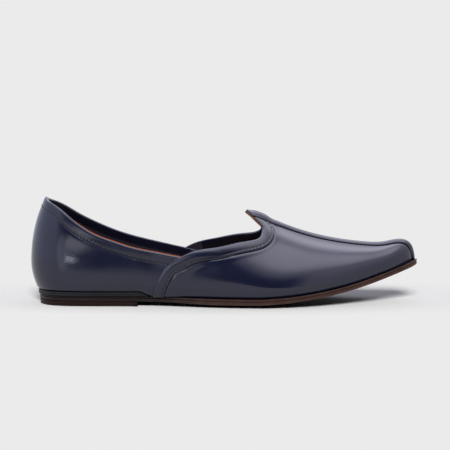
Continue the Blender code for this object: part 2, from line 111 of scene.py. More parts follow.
SOLE_THICK_BALL = 0.0044
SOLE_THICK_TOE = 0.0042
EDGE_RISE = 0.0030
EDGE_OUT_HEEL = -0.0012
EDGE_OUT_BALL = 0.0022
EDGE_OUT_TOE = 0.0038
GAP = 0.0003
TUCK = 0.0007
UNDER_STRIP = 0.0003
CLEARANCE = 0.00005
STITCH_INSET = 0.0070
STITCH_PITCH = 0.0026
STITCH_LENGTH = 0.0017
THREAD_RADIUS = 0.00030
CURVE_STEP = 0.0006
OUTER = -1
INNER = 1

# %% [markdown]
# ## The last
#
# The last is a row of ribs, from the back of the heel round to the tip of the toe. Each rib
# starts at the feather, the line where the upper meets the sole, swells to its widest line
# and closes on the ridge. The table holds one row for each rib, as shares of the sizes
# above, and a smooth curve runs through each column.

# %% Ribs, and the two edges that the leather is cut to
COLUMNS = ("feather_x", "outer", "inner", "swing", "bulge", "widest", "top_x", "top_z", "round")
RIBS = np.array([
    (0.0180, 0.000, 0.000, 0.00, 1.00, 0.260, 0.100, 1.333, 1.93),
    (0.0270, 0.128, 0.128, 0.00, 0.96, 0.250, 0.103, 1.333, 1.93),
    (0.0600, 0.243, 0.243, 0.00, 0.85, 0.220, 0.113, 1.333, 1.92),
    (0.1150, 0.294, 0.294, 0.00, 0.72, 0.180, 0.140, 1.340, 1.90),
    (0.2000, 0.304, 0.300, 0.00, 0.67, 0.160, 0.207, 1.361, 1.90),
    (0.2850, 0.312, 0.279, 0.00, 0.74, 0.150, 0.285, 1.375, 1.95),
    (0.3650, 0.342, 0.270, 0.02, 0.85, 0.150, 0.365, 1.347, 2.00),
    (0.4500, 0.400, 0.306, 0.08, 0.85, 0.160, 0.450, 1.222, 1.90),
    (0.5350, 0.457, 0.379, 0.18, 0.78, 0.180, 0.535, 1.042, 1.66),
    (0.6150, 0.475, 0.435, 0.30, 0.74, 0.155, 0.615, 0.887, 1.55),
    (0.7000, 0.444, 0.425, 0.46, 0.67, 0.165, 0.700, 0.753, 1.70),
    (0.7850, 0.362, 0.352, 0.62, 0.56, 0.220, 0.785, 0.668, 1.85),
    (0.8600, 0.269, 0.260, 0.78, 0.44, 0.300, 0.860, 0.627, 2.00),
    (0.9200, 0.179, 0.171, 0.88, 0.33, 0.320, 0.920, 0.630, 2.10),
    (0.9600, 0.108, 0.102, 0.96, 0.22, 0.340, 0.9620, 0.650, 2.10),
    (0.9805, 0.052, 0.049, 1.00, 0.11, 0.360, 0.9820, 0.583, 2.10),
    (0.9873, 0.000, 0.000, 1.00, 0.00, 0.400, 0.9873, 0.472, 2.10),
])
LEVEL_AT_BACK = ("feather_x", "swing", "bulge", "widest", "top_x", "top_z", "round")
LEVEL_AT_TOE = ("feather_x",)

# Quarters' top edge: place along the ribs, height on the outer and on the inner side.
TOPLINE = np.array([
    (0.000, 1.000, 1.000),
    (0.045, 0.974, 0.974),
    (0.097, 0.908, 0.913),
    (0.142, 0.789, 0.818),
    (0.175, 0.706, 0.754),
    (0.235, 0.612, 0.655),
    (0.276, 0.562, 0.605),
    (0.331, 0.518, 0.553),
    (0.405, 0.469, 0.488),
])
# Vamp's rear edge and throat: height on the rib (0 feather, 1 widest, 2 ridge), place.
VAMP_EDGE = np.array([
    (0.000, 0.3300),
    (0.500, 0.3340),
    (1.026, 0.3490),
    (1.101, 0.3700),
    (1.149, 0.3960),
    (1.223, 0.4330),
    (1.338, 0.4950),
    (1.450, 0.5430),
    (1.545, 0.5800),
    (1.605, 0.5935),
    (1.670, 0.5985),
    (1.740, 0.5970),
    (1.800, 0.5850),
    (1.870, 0.5725),
    (2.000, 0.5585),
])
LAP_TOP = 1.172
LOW_RIB_SHARE = 0.115
THROAT_DROP_OUTER = 0.025
THROAT_DROP_INNER = 0.011
print("ribs:", len(RIBS), "from", RIBS[0, 0] * LENGTH, "to", RIBS[-1, 0] * LENGTH)

# %% [markdown]
# A natural cubic spline keeps the curvature continuous from rib to rib. That matters on
# glossy leather: the eye reads a break in curvature as a kink in the highlight.

# %% Smooth steps and splines
def smooth(start, end, x):
    """0 before start, 1 after end, t^2 (3 - 2t) between."""
    t = np.clip((np.asarray(x, float) - start) / (end - start), 0.0, 1.0)
    return t * t * (3.0 - 2.0 * t)


def bell(x, centre, width):
    """exp(-((x - centre) / width)^2), a soft bump of height 1."""
    return np.exp(-((x - centre) / width) ** 2)


def spline(knots, values, level_start=False, level_end=False):
    """Cubic curve through the values with continuous curvature, ends level or free."""
    count = len(knots)
    width = np.diff(knots)
    rise = np.diff(values) / width
    matrix = np.eye(count)
    right = np.zeros(count)
    for i in range(1, count - 1):
        matrix[i, i - 1:i + 2] = (width[i - 1], 2.0 * (width[i - 1] + width[i]), width[i])
        right[i] = 6.0 * (rise[i] - rise[i - 1])
    if level_start:
        matrix[0, :2] = (2.0 * width[0], width[0])
        right[0] = 6.0 * rise[0]
    if level_end:
        matrix[-1, -2:] = (width[-1], 2.0 * width[-1])
        right[-1] = -6.0 * rise[-1]
    bend = np.linalg.solve(matrix, right)

    def curve(place):
        place = np.asarray(place, float)
        i = np.clip(np.searchsorted(knots, place, side="right") - 1, 0, count - 2)
        step = knots[i + 1] - knots[i]
        a = (knots[i + 1] - place) / step
        b = (place - knots[i]) / step
        cubic = (a ** 3 - a) * bend[i] + (b ** 3 - b) * bend[i + 1]
        return a * values[i] + b * values[i + 1] + cubic * step * step / 6.0

    return curve


half_widths = (RIBS[:, 1] + RIBS[:, 2]) / 2.0 * BALL_WIDTH
steps = np.hypot(np.diff(RIBS[:, 0] * LENGTH), np.diff(half_widths))
PLACES = np.concatenate([[0.0], np.cumsum(steps)]) / steps.sum()
SHARE = {
    name: spline(PLACES, RIBS[:, i], name in LEVEL_AT_BACK, name in LEVEL_AT_TOE)
    for i, name in enumerate(COLUMNS)
}
TOP_OUTER = spline(TOPLINE[:, 0], TOPLINE[:, 1], level_start=True)
TOP_INNER = spline(TOPLINE[:, 0], TOPLINE[:, 2], level_start=True)


def climb(v):
    """v with its part under the widest line shortened, so that it grows as the height does."""
    v = np.asarray(v, float)
    return np.where(v < 1.0, LOW_RIB_SHARE * (v - 1.0), v - 1.0)


EDGE_CURVE = spline(climb(VAMP_EDGE[:, 0]), VAMP_EDGE[:, 1])


def edge_place(v):
    """Place along the ribs of the vamp's rear edge."""
    return EDGE_CURVE(climb(v))


print("length round one side of the feather: %.0f mm" % (steps.sum() / MM))

# %% Heights of the sole under the last
def outsole_bottom(x):
    """Underside of the outsole: on the heel, down through the waist, up to the toe."""
    waist = HEEL_LIFT * (1.0 - smooth(WAIST_START_X, TREAD_START_X, x))
    reach = np.clip((np.asarray(x, float) - TREAD_END_X) / (LENGTH - TREAD_END_X), 0.0, None)
    return waist + TOE_SPRING * reach ** 1.6


def edge_rise(x, across):
    """The sole curls up towards its edge by EDGE_RISE at the ball."""
    ball = smooth(WAIST_START_X, TREAD_START_X, x) * (1.0 - smooth(TREAD_END_X, TOE_BOX_X, x))
    return EDGE_RISE * ball * np.clip((np.abs(across) - 0.4) / 0.6, 0.0, 1.0) ** 2


def sole_thickness(x):
    """Outsole and midsole together."""
    ball = (SOLE_THICK_BALL - SOLE_THICK_BACK) * smooth(WAIST_START_X, TREAD_START_X, x)
    toe = (SOLE_THICK_BALL - SOLE_THICK_TOE) * smooth(TOE_BOX_X, LENGTH, x)
    return SOLE_THICK_BACK + ball - toe


def rand_thickness(x):
    """Black wedge between sole and upper round the heel."""
    return RAND_THICK * (1.0 - smooth(RAND_FADE_X, RAND_END_X, x))


def seat(x, across=1.0):
    """Height of the feather."""
    return outsole_bottom(x) + edge_rise(x, across) + sole_thickness(x) + rand_thickness(x)


print("feather over the floor, heel, ball, toe tip (mm):",
      np.round(seat(np.array([0.05, 0.16, 0.296])) / MM, 1))

# %% The last's surface
def plan(u, side):
    """Feather line seen from above."""
    half = SHARE["outer"](u) if side == OUTER else SHARE["inner"](u)
    y = SHARE["swing"](u) * TOE_SWING + side * half * BALL_WIDTH
    return np.stack([SHARE["feather_x"](u) * LENGTH, y], -1)


def plan_normal(u, side):
    """Unit vector out of the feather line, from a small step either way."""
    ahead = np.asarray(u, float) + 1e-4
    behind = np.asarray(u, float) - 1e-4
    ahead = np.where((ahead > 1.0)[..., None], plan(2.0 - ahead, -side), plan(ahead, side))
    behind = np.where((behind < 0.0)[..., None], plan(-behind, -side), plan(behind, side))
    along = ahead - behind
    out = np.stack([-along[..., 1], along[..., 0]], -1) * side
    return out / np.linalg.norm(out, axis=-1, keepdims=True)


def either_side(v):
    """v counted from the sole on both sides: 4 - v past the ridge, v before it."""
    return np.minimum(v, 4.0 - v)


def last(u, v, side, inset=0.0):
    """Point at u along the shoe (0 back, 1 toe) and v up the rib (0, 1, 2).

    Below the widest line a rib is a parabola, above it a superellipse, whose two
    parts are cos(t)^(2/n) and sin(t)^(2/n). The inset moves the surface inwards.
    """
    u, v = np.broadcast_arrays(np.asarray(u, float), np.asarray(v, float))
    out = plan_normal(u, side)
    feather = plan(u, side)
    widest = feather + out * (SHARE["bulge"](u) * OVERHANG)[..., None]
    top = np.stack([SHARE["top_x"](u) * LENGTH, SHARE["swing"](u) * TOE_SWING], -1)
    low = seat(feather[..., 0])
    high = SHARE["top_z"](u) * INSTEP_HEIGHT
    middle = low + SHARE["widest"](u) * (high - low)
    power = 2.0 / SHARE["round"](u)
    open_part = 1.0 - smooth(0.42, 0.55, u)
    feather = feather - out * inset
    widest = widest - out * inset
    top = top - out * (inset * open_part)[..., None]
    high = high - inset * (1.0 - open_part)
    angle = np.clip(v - 1.0, 0.0, 1.0) * math.pi / 2.0
    c = np.cos(angle) ** power
    s = np.sin(angle) ** power
    down = np.clip(1.0 - v, 0.0, 1.0)
    low_xy = widest + (feather - widest) * (down ** 2)[..., None]
    high_xy = top + (widest - top) * c[..., None]
    below = v < 1.0
    xy = np.where(below[..., None], low_xy, high_xy)
    z = np.where(below, middle + (low - middle) * down, middle + (high - middle) * s)
    return np.concatenate([xy, z[..., None]], -1)


def fold(u, v, side):
    """The last, carried over the back (u below 0) and over the ridge (v above 2)."""
    u, v = np.broadcast_arrays(np.asarray(u, float), np.asarray(v, float))
    cross = (u < 0.0) != (v > 2.0)
    u, v = np.minimum(np.abs(u), 1.0), either_side(v)
    there, here = last(u, v, -side), last(u, v, side)
    return np.where(cross[..., None], there, here)


def normal(u, v, side):
    """Unit vector out of the last: the cross product of a step along and a step up."""
    u, v = np.broadcast_arrays(np.asarray(u, float), np.asarray(v, float))
    u = np.clip(u, -0.995, 0.995)
    along = fold(u + 0.002, v, side) - fold(u - 0.002, v, side)
    up = fold(u, v + 0.01, side) - fold(u, np.maximum(v - 0.01, 0.0), side)
    out = np.cross(along, up) * -side
    return out / np.linalg.norm(out, axis=-1, keepdims=True)


# %% Edges of the leather on the last
def height_on_rib(u, z, side):
    """The v at which the rib stands z above the floor."""
    low = seat(plan(u, side)[..., 0])
    high = SHARE["top_z"](u) * INSTEP_HEIGHT
    middle = low + SHARE["widest"](u) * (high - low)
    share = np.clip((z - middle) / (high - middle), 0.0, 1.0)
    return 1.0 + np.arcsin(share ** (SHARE["round"](u) / 2.0)) * 2.0 / math.pi


def topline(u):
    """The v of the quarters' top edge; u below 0 is the inner side."""
    inner = height_on_rib(np.abs(u), TOP_INNER(np.abs(u)) * BACK_HEIGHT, INNER)
    outer = height_on_rib(np.abs(u), TOP_OUTER(np.abs(u)) * BACK_HEIGHT, OUTER)
    return np.where(u < 0.0, inner, outer)


def vamp_edge(v):
    """The u of the vamp's rear edge; v above 2 is the inner side."""
    height = either_side(v)
    shift = np.where(v > 2.0, THROAT_DROP_INNER, THROAT_DROP_OUTER)
    corner = smooth(LAP_TOP, 1.32, height) * (1.0 - smooth(1.52, 1.72, height))
    return edge_place(height + shift * corner)


def across_curve(u, v):
    """Along a curve on the last: its points, the way out, and the way into the leather."""
    start = fold(u, v, OUTER)
    along = np.gradient(start, axis=0)
    along /= np.linalg.norm(along, axis=-1, keepdims=True)
    out = normal(u, v, OUTER)
    return start, out, np.cross(along, out)


def beside(u, v, distance):
    """Places on the last at distances from a curve on it, one row for each curve point.

    Each target is a step along the surface's tangent, square to the curve, and a
    few Gauss-Newton steps in u and v bring it back onto the surface.
    """
    start, _, into = across_curve(u, v)
    distance = np.asarray(distance, float)
    target = start[:, None] + into[:, None] * distance[None, :, None]
    u = np.repeat(np.array(u, float)[:, None], len(distance), 1)
    v = np.repeat(np.array(v, float)[:, None], len(distance), 1)
    for _ in range(10):
        here = fold(u, v, OUTER)
        along_u = (fold(u + 1e-4, v, OUTER) - here) / 1e-4
        along_v = (fold(u, v + 1e-3, OUTER) - here) / 1e-3
        miss = target - here
        uu, uv, vv = (np.sum(a * b, -1) for a, b in
                      ((along_u, along_u), (along_u, along_v), (along_v, along_v)))
        mu, mv = np.sum(miss * along_u, -1), np.sum(miss * along_v, -1)
        det = uu * vv - uv * uv + 1e-18
        u = np.clip(u + np.clip((mu * vv - mv * uv) / det, -0.03, 0.03), -0.6, 0.999)
        v = np.clip(v + np.clip((mv * uu - mu * uv) / det, -0.2, 0.2), 0.0, 4.0)
    return u, v


def even(u, v, step):
    """The same curve with its points a step apart, measured along the surface."""
    points = fold(u, v, OUTER)
    length = np.concatenate([[0.0], np.cumsum(np.linalg.norm(np.diff(points, axis=0), axis=1))])
    at = np.linspace(0.0, length[-1], max(2, int(length[-1] / step)))
    return np.interp(at, length, u), np.interp(at, length, v), at


def edge_distance(points, path, chunk=2000):
    """Distance from each point to the nearest point of a dense path."""
    flat = points.reshape(-1, 3)
    found = np.empty(len(flat))
    for start in range(0, len(flat), chunk):
        gap = flat[start:start + chunk, None, :] - path[None]
        found[start:start + chunk] = np.sqrt(np.einsum("ijk,ijk->ij", gap, gap).min(1))
    return found.reshape(points.shape[:-1])


CORNER_U = float(vamp_edge(np.array(LAP_TOP)))
print("quarters meet the vamp at x = %.1f mm" %
      ((float(fold(CORNER_U, LAP_TOP, OUTER)[0]) - HEEL_CENTRE_X) / MM))

# %% Distance from the ridge, as a table
TABLE_U = np.linspace(0.30, 1.0, 141)
TABLE_V = np.linspace(0.0, 4.0, 321)
ribs = fold(TABLE_U[:, None], TABLE_V[None, :], OUTER)
steps = np.linalg.norm(np.diff(ribs, axis=1), axis=-1)
run = np.concatenate([np.zeros((len(TABLE_U), 1)), np.cumsum(steps, axis=1)], 1)
FROM_RIDGE = run - run[:, 160:161]


def ridge_distance(u, v):
    """Length of the rib between (u, v) and the ridge, below 0 on the outer side."""
    i = np.clip((u - TABLE_U[0]) / (TABLE_U[1] - TABLE_U[0]), 0.0, len(TABLE_U) - 1.001)
    j = np.clip((v - TABLE_V[0]) / (TABLE_V[1] - TABLE_V[0]), 0.0, len(TABLE_V) - 1.001)
    a, b = i.astype(int), j.astype(int)
    s, t = i - a, j - b
    low = FROM_RIDGE[a, b] * (1.0 - t) + FROM_RIDGE[a, b + 1] * t
    high = FROM_RIDGE[a + 1, b] * (1.0 - t) + FROM_RIDGE[a + 1, b + 1] * t
    return low * (1.0 - s) + high * s


def at_ridge_distance(u, distance):
    """The v at each signed distance from the ridge, one row for each u."""
    places = fold(u[:, None], TABLE_V[None, :], OUTER)
    length = np.linalg.norm(np.diff(places, axis=1), axis=-1)
    length = np.concatenate([np.zeros((len(u), 1)), np.cumsum(length, axis=1)], 1)
    length -= length[:, 160:161]
    return np.stack([np.interp(d, row, TABLE_V) for d, row in zip(distance, length)])


def band_half(u):
    """Half the centre band's width; it flares out towards the peak."""
    return BAND_WIDTH / 2.0 + BAND_FLARE * (1.0 - smooth(BAND_FLARE_START, BAND_FLARE_END, u))


def band_crown(u):
    """Thickness along the band's middle: thin at the peak's tip, then a bulge, then level."""
    tip = 0.35 + 0.65 * smooth(BAND_TIP_START, BAND_TIP_END, u)
    bulge = smooth(BAND_TIP_START, 0.592, u) * (1.0 - smooth(0.598, 0.622, u))
    return BAND_THICK * tip + BAND_SWELL * bulge


def lap_height(u, v):
    """Extra height of the vamp where it lies over the quarters."""
    ahead = 1.0 - smooth(0.0, LAP_FADE, u - vamp_edge(v))
    return LAP_STEP * ahead * (1.0 - smooth(LAP_TOP, LAP_TOP + 0.12, either_side(v)))


print("length of a rib at the ball: %.0f mm" % (np.ptp(FROM_RIDGE[90]) / MM))

# %% [markdown]
# ## From grids to meshes
#
# Each piece is one or more grids of points. A grid that goes round is closed on itself, and
# open ends get a cap. Where a grid folds back on itself, at the toe's tip or a stitch's end,
# merging the doubles closes it. Each point carries a value from 0 on open leather to 1 in a
# groove, and the colour reads it. On the upper it darkens grooves, thread hollows, the parts
# under strips and the leather just over the sole: painted shade. On the sole's edges it
# darkens the grooves and the faces between layers, and behind the waist it is the edge's
# darker dye. Below 0 it paints an inside face paler: painted light.

# %% Mesh helpers
def grid_faces(rows, columns, closed=False, first=0):
    """Quads over a grid of points stored row by row."""
    index = first + np.arange(rows * columns).reshape(rows, columns)
    if closed:
        index = np.concatenate([index, index[:, :1]], 1)
    quads = np.stack([index[:-1, :-1], index[:-1, 1:], index[1:, 1:], index[1:, :-1]], -1)
    return quads.reshape(-1, 4)


def add_piece(name, parts, look, nodes=()):
    """One object from (points, faces, seam) parts, its faces turned outwards."""
    points, faces, painted_shade_and_dye_values, first = [], [], [], 0
    for place, quads, seam in parts:
        place = place.reshape(-1, 3)
        points.append(place)
        faces += [[first + i for i in face] for face in quads]
        painted_shade_and_dye_values.append(np.broadcast_to(seam, place.shape[:1]) if np.ndim(seam) == 0
                     else np.asarray(seam).reshape(-1))
        first += len(place)
    points = np.concatenate(points) - (HEEL_CENTRE_X, 0.0, 0.0)
    mesh = bpy.data.meshes.new(name)
    mesh.from_pydata(points.tolist(), [], faces)
    # Per-point value that the colours read: painted shade on the upper where it is positive, darker
    # dye on the sole's heel part, and a painted paler inside face where it is negative.
    attribute = mesh.attributes.new("seam", "FLOAT", "POINT")
    attribute.data.foreach_set("value", np.concatenate(painted_shade_and_dye_values).astype(np.float32))
    body = bmesh.new()
    body.from_mesh(mesh)
    bmesh.ops.remove_doubles(body, verts=body.verts[:], dist=1e-6)
    bmesh.ops.recalc_face_normals(body, faces=body.faces[:])
    open_edges = sum(1 for edge in body.edges if not edge.is_manifold)
    body.to_mesh(mesh)
    body.free()
    mesh.polygons.foreach_set("use_smooth", np.ones(len(mesh.polygons), bool))
    mesh.materials.append(look)
    piece = bpy.data.objects.new(name, mesh)
    bpy.context.scene.collection.objects.link(piece)
    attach(piece, "root")
    if nodes:
        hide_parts(*nodes)
    triangles = sum(len(face.vertices) - 2 for face in mesh.polygons)
    print("%-16s %6d triangles, %d open edges" % (name, triangles, open_edges))
    return piece


def shell(outside, inside, seam):
    """Part from two grids of the same shape, joined along their borders."""
    rows, columns = outside.shape[:2]
    size = rows * columns
    faces = grid_faces(rows, columns).tolist()
    faces += [face[::-1] for face in grid_faces(rows, columns, first=size).tolist()]
    index = np.arange(size).reshape(rows, columns)
    ring = np.concatenate([index[0, :-1], index[:-1, -1], index[-1, :0:-1], index[:0:-1, 0]])
    after = np.roll(ring, -1)
    faces += np.stack([after, ring, ring + size, after + size], -1).tolist()
    points = np.concatenate([outside.reshape(-1, 3), inside.reshape(-1, 3)])
    # The inside grid gets -1, which paints it paler: painted light.
    return points, faces, np.concatenate([seam.reshape(-1), np.full(size, -1.0)])


def bar(rings, seam):
    """Part from a row of closed rings, with a cap at each end."""
    rows, columns = rings.shape[:2]
    faces = grid_faces(rows, columns, closed=True).tolist()
    faces.append(list(range(columns)))
    faces.append(list(range((rows - 1) * columns, rows * columns))[::-1])
    return rings, faces, np.broadcast_to(seam, (rows, columns))


# %% [markdown]
# ## Finishes
#
# The upper is chrome-tanned calf, dyed navy and polished: a clear sheen over a grain too
# fine to see, with faint unevenness. The sole's edges are vegetable-tanned
# leather, dyed, waxed and burnished, so they shine in streaks that run along the layers.
# Colours are sRGB, as they would be picked from a swatch, turned to linear by one function.

# %% Nodes and colours
def linear(hex_colour):
    """sRGB hex to linear: ((c + 0.055) / 1.055)^2.4 above 0.04045, c / 12.92 below."""
    channels = [int(hex_colour[i:i + 2], 16) / 255.0 for i in (1, 3, 5)]
    made = [c / 12.92 if c <= 0.04045 else ((c + 0.055) / 1.055) ** 2.4 for c in channels]
    return (*made, 1.0)


def add_node(tree, kind, settings=None, **inputs):
    """One node with its settings; an input is a value or another node's output."""
    node = tree.nodes.new(kind)
    for key, value in (settings or {}).items():
        setattr(node, key, value)
    for key, value in inputs.items():
        name = key.replace("_", " ")
        socket = node.inputs[int(name[1:])] if name[1:].isdigit() else node.inputs[name]
        if isinstance(value, bpy.types.NodeSocket):
            tree.links.new(value, socket)
        else:
            socket.default_value = value
    return node


def new_material(name, colour, roughness):
    """Material with a Principled shader; returns it, its tree, shader and coordinates."""
    made = bpy.data.materials.new(name)
    made.use_nodes = True
    tree = made.node_tree
    shader = tree.nodes["Principled BSDF"]
    shader.inputs["Base Color"].default_value = linear(colour)
    shader.inputs["Roughness"].default_value = roughness
    made.diffuse_color = linear(colour)
    place = tree.nodes.new("ShaderNodeTexCoord").outputs["Object"]
    return made, tree, shader, place


# %% Grained leather and burnished sole edge
# Paler colour painted on the inside faces: painted light that brightens the inside.
PAINTED_INSIDE_LIGHT = "#3E3A47"


def grained_leather(name, light, dark, roughness, grain_mm, grain_depth, coat):
    """Dyed grain leather: cloudy dye, painted shade in grooves, pores as small hollows.

    Where the value is negative, the face is painted paler: painted light on the inside faces.
    """
    made, tree, shader, place = new_material(name, light, roughness)
    clouds = add_node(tree, "ShaderNodeTexNoise", Vector=place, Scale=1.0 / (28.0 * MM),
                      Detail=3.0, Roughness=0.55)
    seam = add_node(tree, "ShaderNodeAttribute", {"attribute_name": "seam"})
    mottle = add_node(tree, "ShaderNodeMapRange", Value=clouds.outputs["Fac"],
                      From_Min=0.3, From_Max=0.75, To_Min=0.0, To_Max=0.45)
    # Positive values darken the calf: painted shade in grooves, thread hollows and just over the
    # sole.
    total = add_node(tree, "ShaderNodeMath", {"operation": "ADD", "use_clamp": True},
                     _0=mottle.outputs["Result"], _1=seam.outputs["Fac"])
    colour = add_node(tree, "ShaderNodeMix", {"data_type": "RGBA"}, _0=total.outputs["Value"],
                      _6=linear(light), _7=linear(dark))
    # Negative values turn the face paler: painted light on the inside faces.
    inner = add_node(tree, "ShaderNodeMath", {"operation": "MULTIPLY", "use_clamp": True},
                     _0=seam.outputs["Fac"], _1=-1.0)
    sides = add_node(tree, "ShaderNodeMix", {"data_type": "RGBA"}, _0=inner.outputs["Value"],
                     _6=colour.outputs[2], _7=linear(PAINTED_INSIDE_LIGHT))
    tree.links.new(sides.outputs[2], shader.inputs["Base Color"])
    pores = add_node(tree, "ShaderNodeTexVoronoi", Vector=place, Scale=1.0 / (grain_mm * MM),
                     Randomness=1.0)
    cells = add_node(tree, "ShaderNodeMapRange", Value=pores.outputs["Distance"],
                     From_Min=0.0, From_Max=0.55, To_Min=0.0, To_Max=1.0)
    creases = add_node(tree, "ShaderNodeTexNoise", Vector=place, Scale=1.0 / (3.2 * MM),
                       Detail=4.0, Roughness=0.6)
    height = add_node(tree, "ShaderNodeMath", {"operation": "ADD"},
                      _0=cells.outputs["Result"], _1=creases.outputs["Fac"])
    bump = add_node(tree, "ShaderNodeBump", Strength=grain_depth, Distance=0.03 * MM,
                    Height=height.outputs["Value"])
    tree.links.new(bump.outputs["Normal"], shader.inputs["Normal"])
    wear = add_node(tree, "ShaderNodeTexNoise", Vector=place, Scale=1.0 / (11.0 * MM),
                    Detail=5.0, Roughness=0.6)
    gloss = add_node(tree, "ShaderNodeMapRange", Value=wear.outputs["Fac"], From_Min=0.3,
                     From_Max=0.7, To_Min=roughness - 0.03, To_Max=roughness + 0.04)
    tree.links.new(gloss.outputs["Result"], shader.inputs["Roughness"])
    shader.inputs["IOR"].default_value = 1.5
    shader.inputs["Coat Weight"].default_value = coat
    shader.inputs["Coat Roughness"].default_value = 0.28
    return made


def edge_leather(name, light, dark, roughness, specular):
    """Burnished sole edge: streaks that run level, as the fibres of the layers do."""
    made, tree, shader, place = new_material(name, light, roughness)
    turn = add_node(tree, "ShaderNodeMapping", Vector=place, Scale=(26.0, 26.0, 1300.0))
    streaks = add_node(tree, "ShaderNodeTexNoise", Vector=turn.outputs["Vector"], Scale=1.0,
                       Detail=4.0, Roughness=0.6)
    patches = add_node(tree, "ShaderNodeTexNoise", Vector=place, Scale=1.0 / (9.0 * MM),
                       Detail=3.0)
    both = add_node(tree, "ShaderNodeMath", {"operation": "MULTIPLY"},
                    _0=streaks.outputs["Fac"], _1=patches.outputs["Fac"])
    spread = add_node(tree, "ShaderNodeMapRange", Value=both.outputs["Value"], From_Min=0.12,
                      From_Max=0.40, To_Min=0.62, To_Max=0.0)
    # The value darkens the edge in its grooves, on the faces between layers and behind the waist.
    seam = add_node(tree, "ShaderNodeAttribute", {"attribute_name": "seam"})
    total = add_node(tree, "ShaderNodeMath", {"operation": "ADD", "use_clamp": True},
                     _0=spread.outputs["Result"], _1=seam.outputs["Fac"])
    colour = add_node(tree, "ShaderNodeMix", {"data_type": "RGBA"}, _0=total.outputs["Value"],
                      _6=linear(light), _7=linear(dark))
    tree.links.new(colour.outputs[2], shader.inputs["Base Color"])
    bump = add_node(tree, "ShaderNodeBump", Strength=0.35, Distance=0.05 * MM,
                    Height=streaks.outputs["Fac"])
    tree.links.new(bump.outputs["Normal"], shader.inputs["Normal"])
    shader.inputs["Specular IOR Level"].default_value = specular
    return made


# Polished calf: a clear, slightly soft mirror. Its pores are about 0.2 mm and drawn at 0.55 mm.
NAVY_CALF = grained_leather("navy_calf", "#1B1E33", "#121420", 0.15, 0.55, 0.25, 0.0)
# The same calf, bent and rubbed along the strips, so a little duller.
NAVY_FOLD = grained_leather("navy_calf_fold", "#1B1E31", "#10111D", 0.19, 0.55, 0.30, 0.0)
# Waxed thread, near black and dull.
NAVY_THREAD = grained_leather("navy_thread", "#08090F", "#050609", 0.60, 0.40, 0.20, 0.0)
# Cut edge of undyed leather, and the vegetable-tanned sock: matt and warm.
RAW_LEATHER = grained_leather("raw_tan_leather", "#A85408", "#7C3E06", 0.62, 0.45, 0.50, 0.0)
SOCK_LEATHER = grained_leather("sock_leather", "#5E4632", "#483322", 0.55, 0.70, 0.50, 0.05)
# Waxed edges: brown sole, darker stacked heel, black wedge; streaks catch the light.
SOLE_EDGE = edge_leather("sole_edge_leather", "#4E3226", "#1C110E", 0.45, 0.24)
HEEL_EDGE = edge_leather("heel_edge_leather", "#2A1914", "#1A100D", 0.50, 0.12)
RAND_EDGE = edge_leather("rand_black_leather", "#1C1D20", "#0E0F11", 0.50, 0.25)
for plain in (RAW_LEATHER, SOCK_LEATHER):
    plain.node_tree.nodes["Principled BSDF"].inputs["Specular IOR Level"].default_value = 0.05
print("finishes:", ", ".join(m.name for m in bpy.data.materials if m.name.islower()))

# %% [markdown]
# ## Quarters
#
# The quarters wrap the heel in one piece and run forward under the vamp. Rows fan from the
# feather up to the top edge. At the foot the leather turns in under itself, which leaves the
# fine dark line over the sole; the leather just over it is also darkened as painted shade.
# The inside face, 2 mm in, is painted paler than the navy: painted light.

# %% Quarters
def tucked(v):
    """How far the leather turns in just over the sole, in metres."""
    return TUCK * (1.0 - smooth(0.0, 0.10, either_side(v))) ** 2


def lifted(u, v, height):
    """Points at a height over the last, never lower than what the upper stands on."""
    points = fold(u, v, OUTER) + normal(u, v, OUTER) * np.asarray(height)[..., None]
    low = seat(plan(np.clip(np.abs(u), 0.0, 1.0), OUTER)[..., 0]) + CLEARANCE
    points[..., 2] = np.maximum(points[..., 2], low)
    return points


QUARTER_REACH = 0.030
across = np.linspace(-1.0, 1.0, 301)[None, :]
share = np.linspace(0.0, 1.0, 81)[:, None]
reach = edge_place(share * LAP_TOP) + QUARTER_REACH
quarter_u = across * reach
quarter_v = share * topline(across * (CORNER_U + QUARTER_REACH))
collar_u = np.linspace(-CORNER_U - 0.012, CORNER_U + 0.012, 3000)
collar_u, collar_v, collar_run = even(collar_u, topline(collar_u), CURVE_STEP)
collar_line = fold(collar_u, collar_v, OUTER)
below_collar = edge_distance(fold(quarter_u, quarter_v, OUTER), collar_line)
sink = -UNDER_STRIP * (1.0 - smooth(0.0072, 0.0086, below_collar))
outside = lifted(quarter_u, quarter_v, sink - tucked(quarter_v))
inside = lifted(quarter_u, quarter_v, np.full(quarter_v.shape, -WALL))
# Painted shade: darker over the lowest part of each rib, just over the sole.
painted_shade = (1.0 - smooth(0.02, 0.10, quarter_v)) * 0.9
add_piece("quarters", [shell(outside, inside, painted_shade)], NAVY_CALF, ["upper"])

# %% [markdown]
# ## Vamp
#
# The vamp is one piece from the throat to the toe. Its rear edge is cut to the curve of the
# peak, and low down it lies over the quarters. Rows crowd along the centre, and columns
# along the rear edge, because the grooves beside the band and the strips are there.

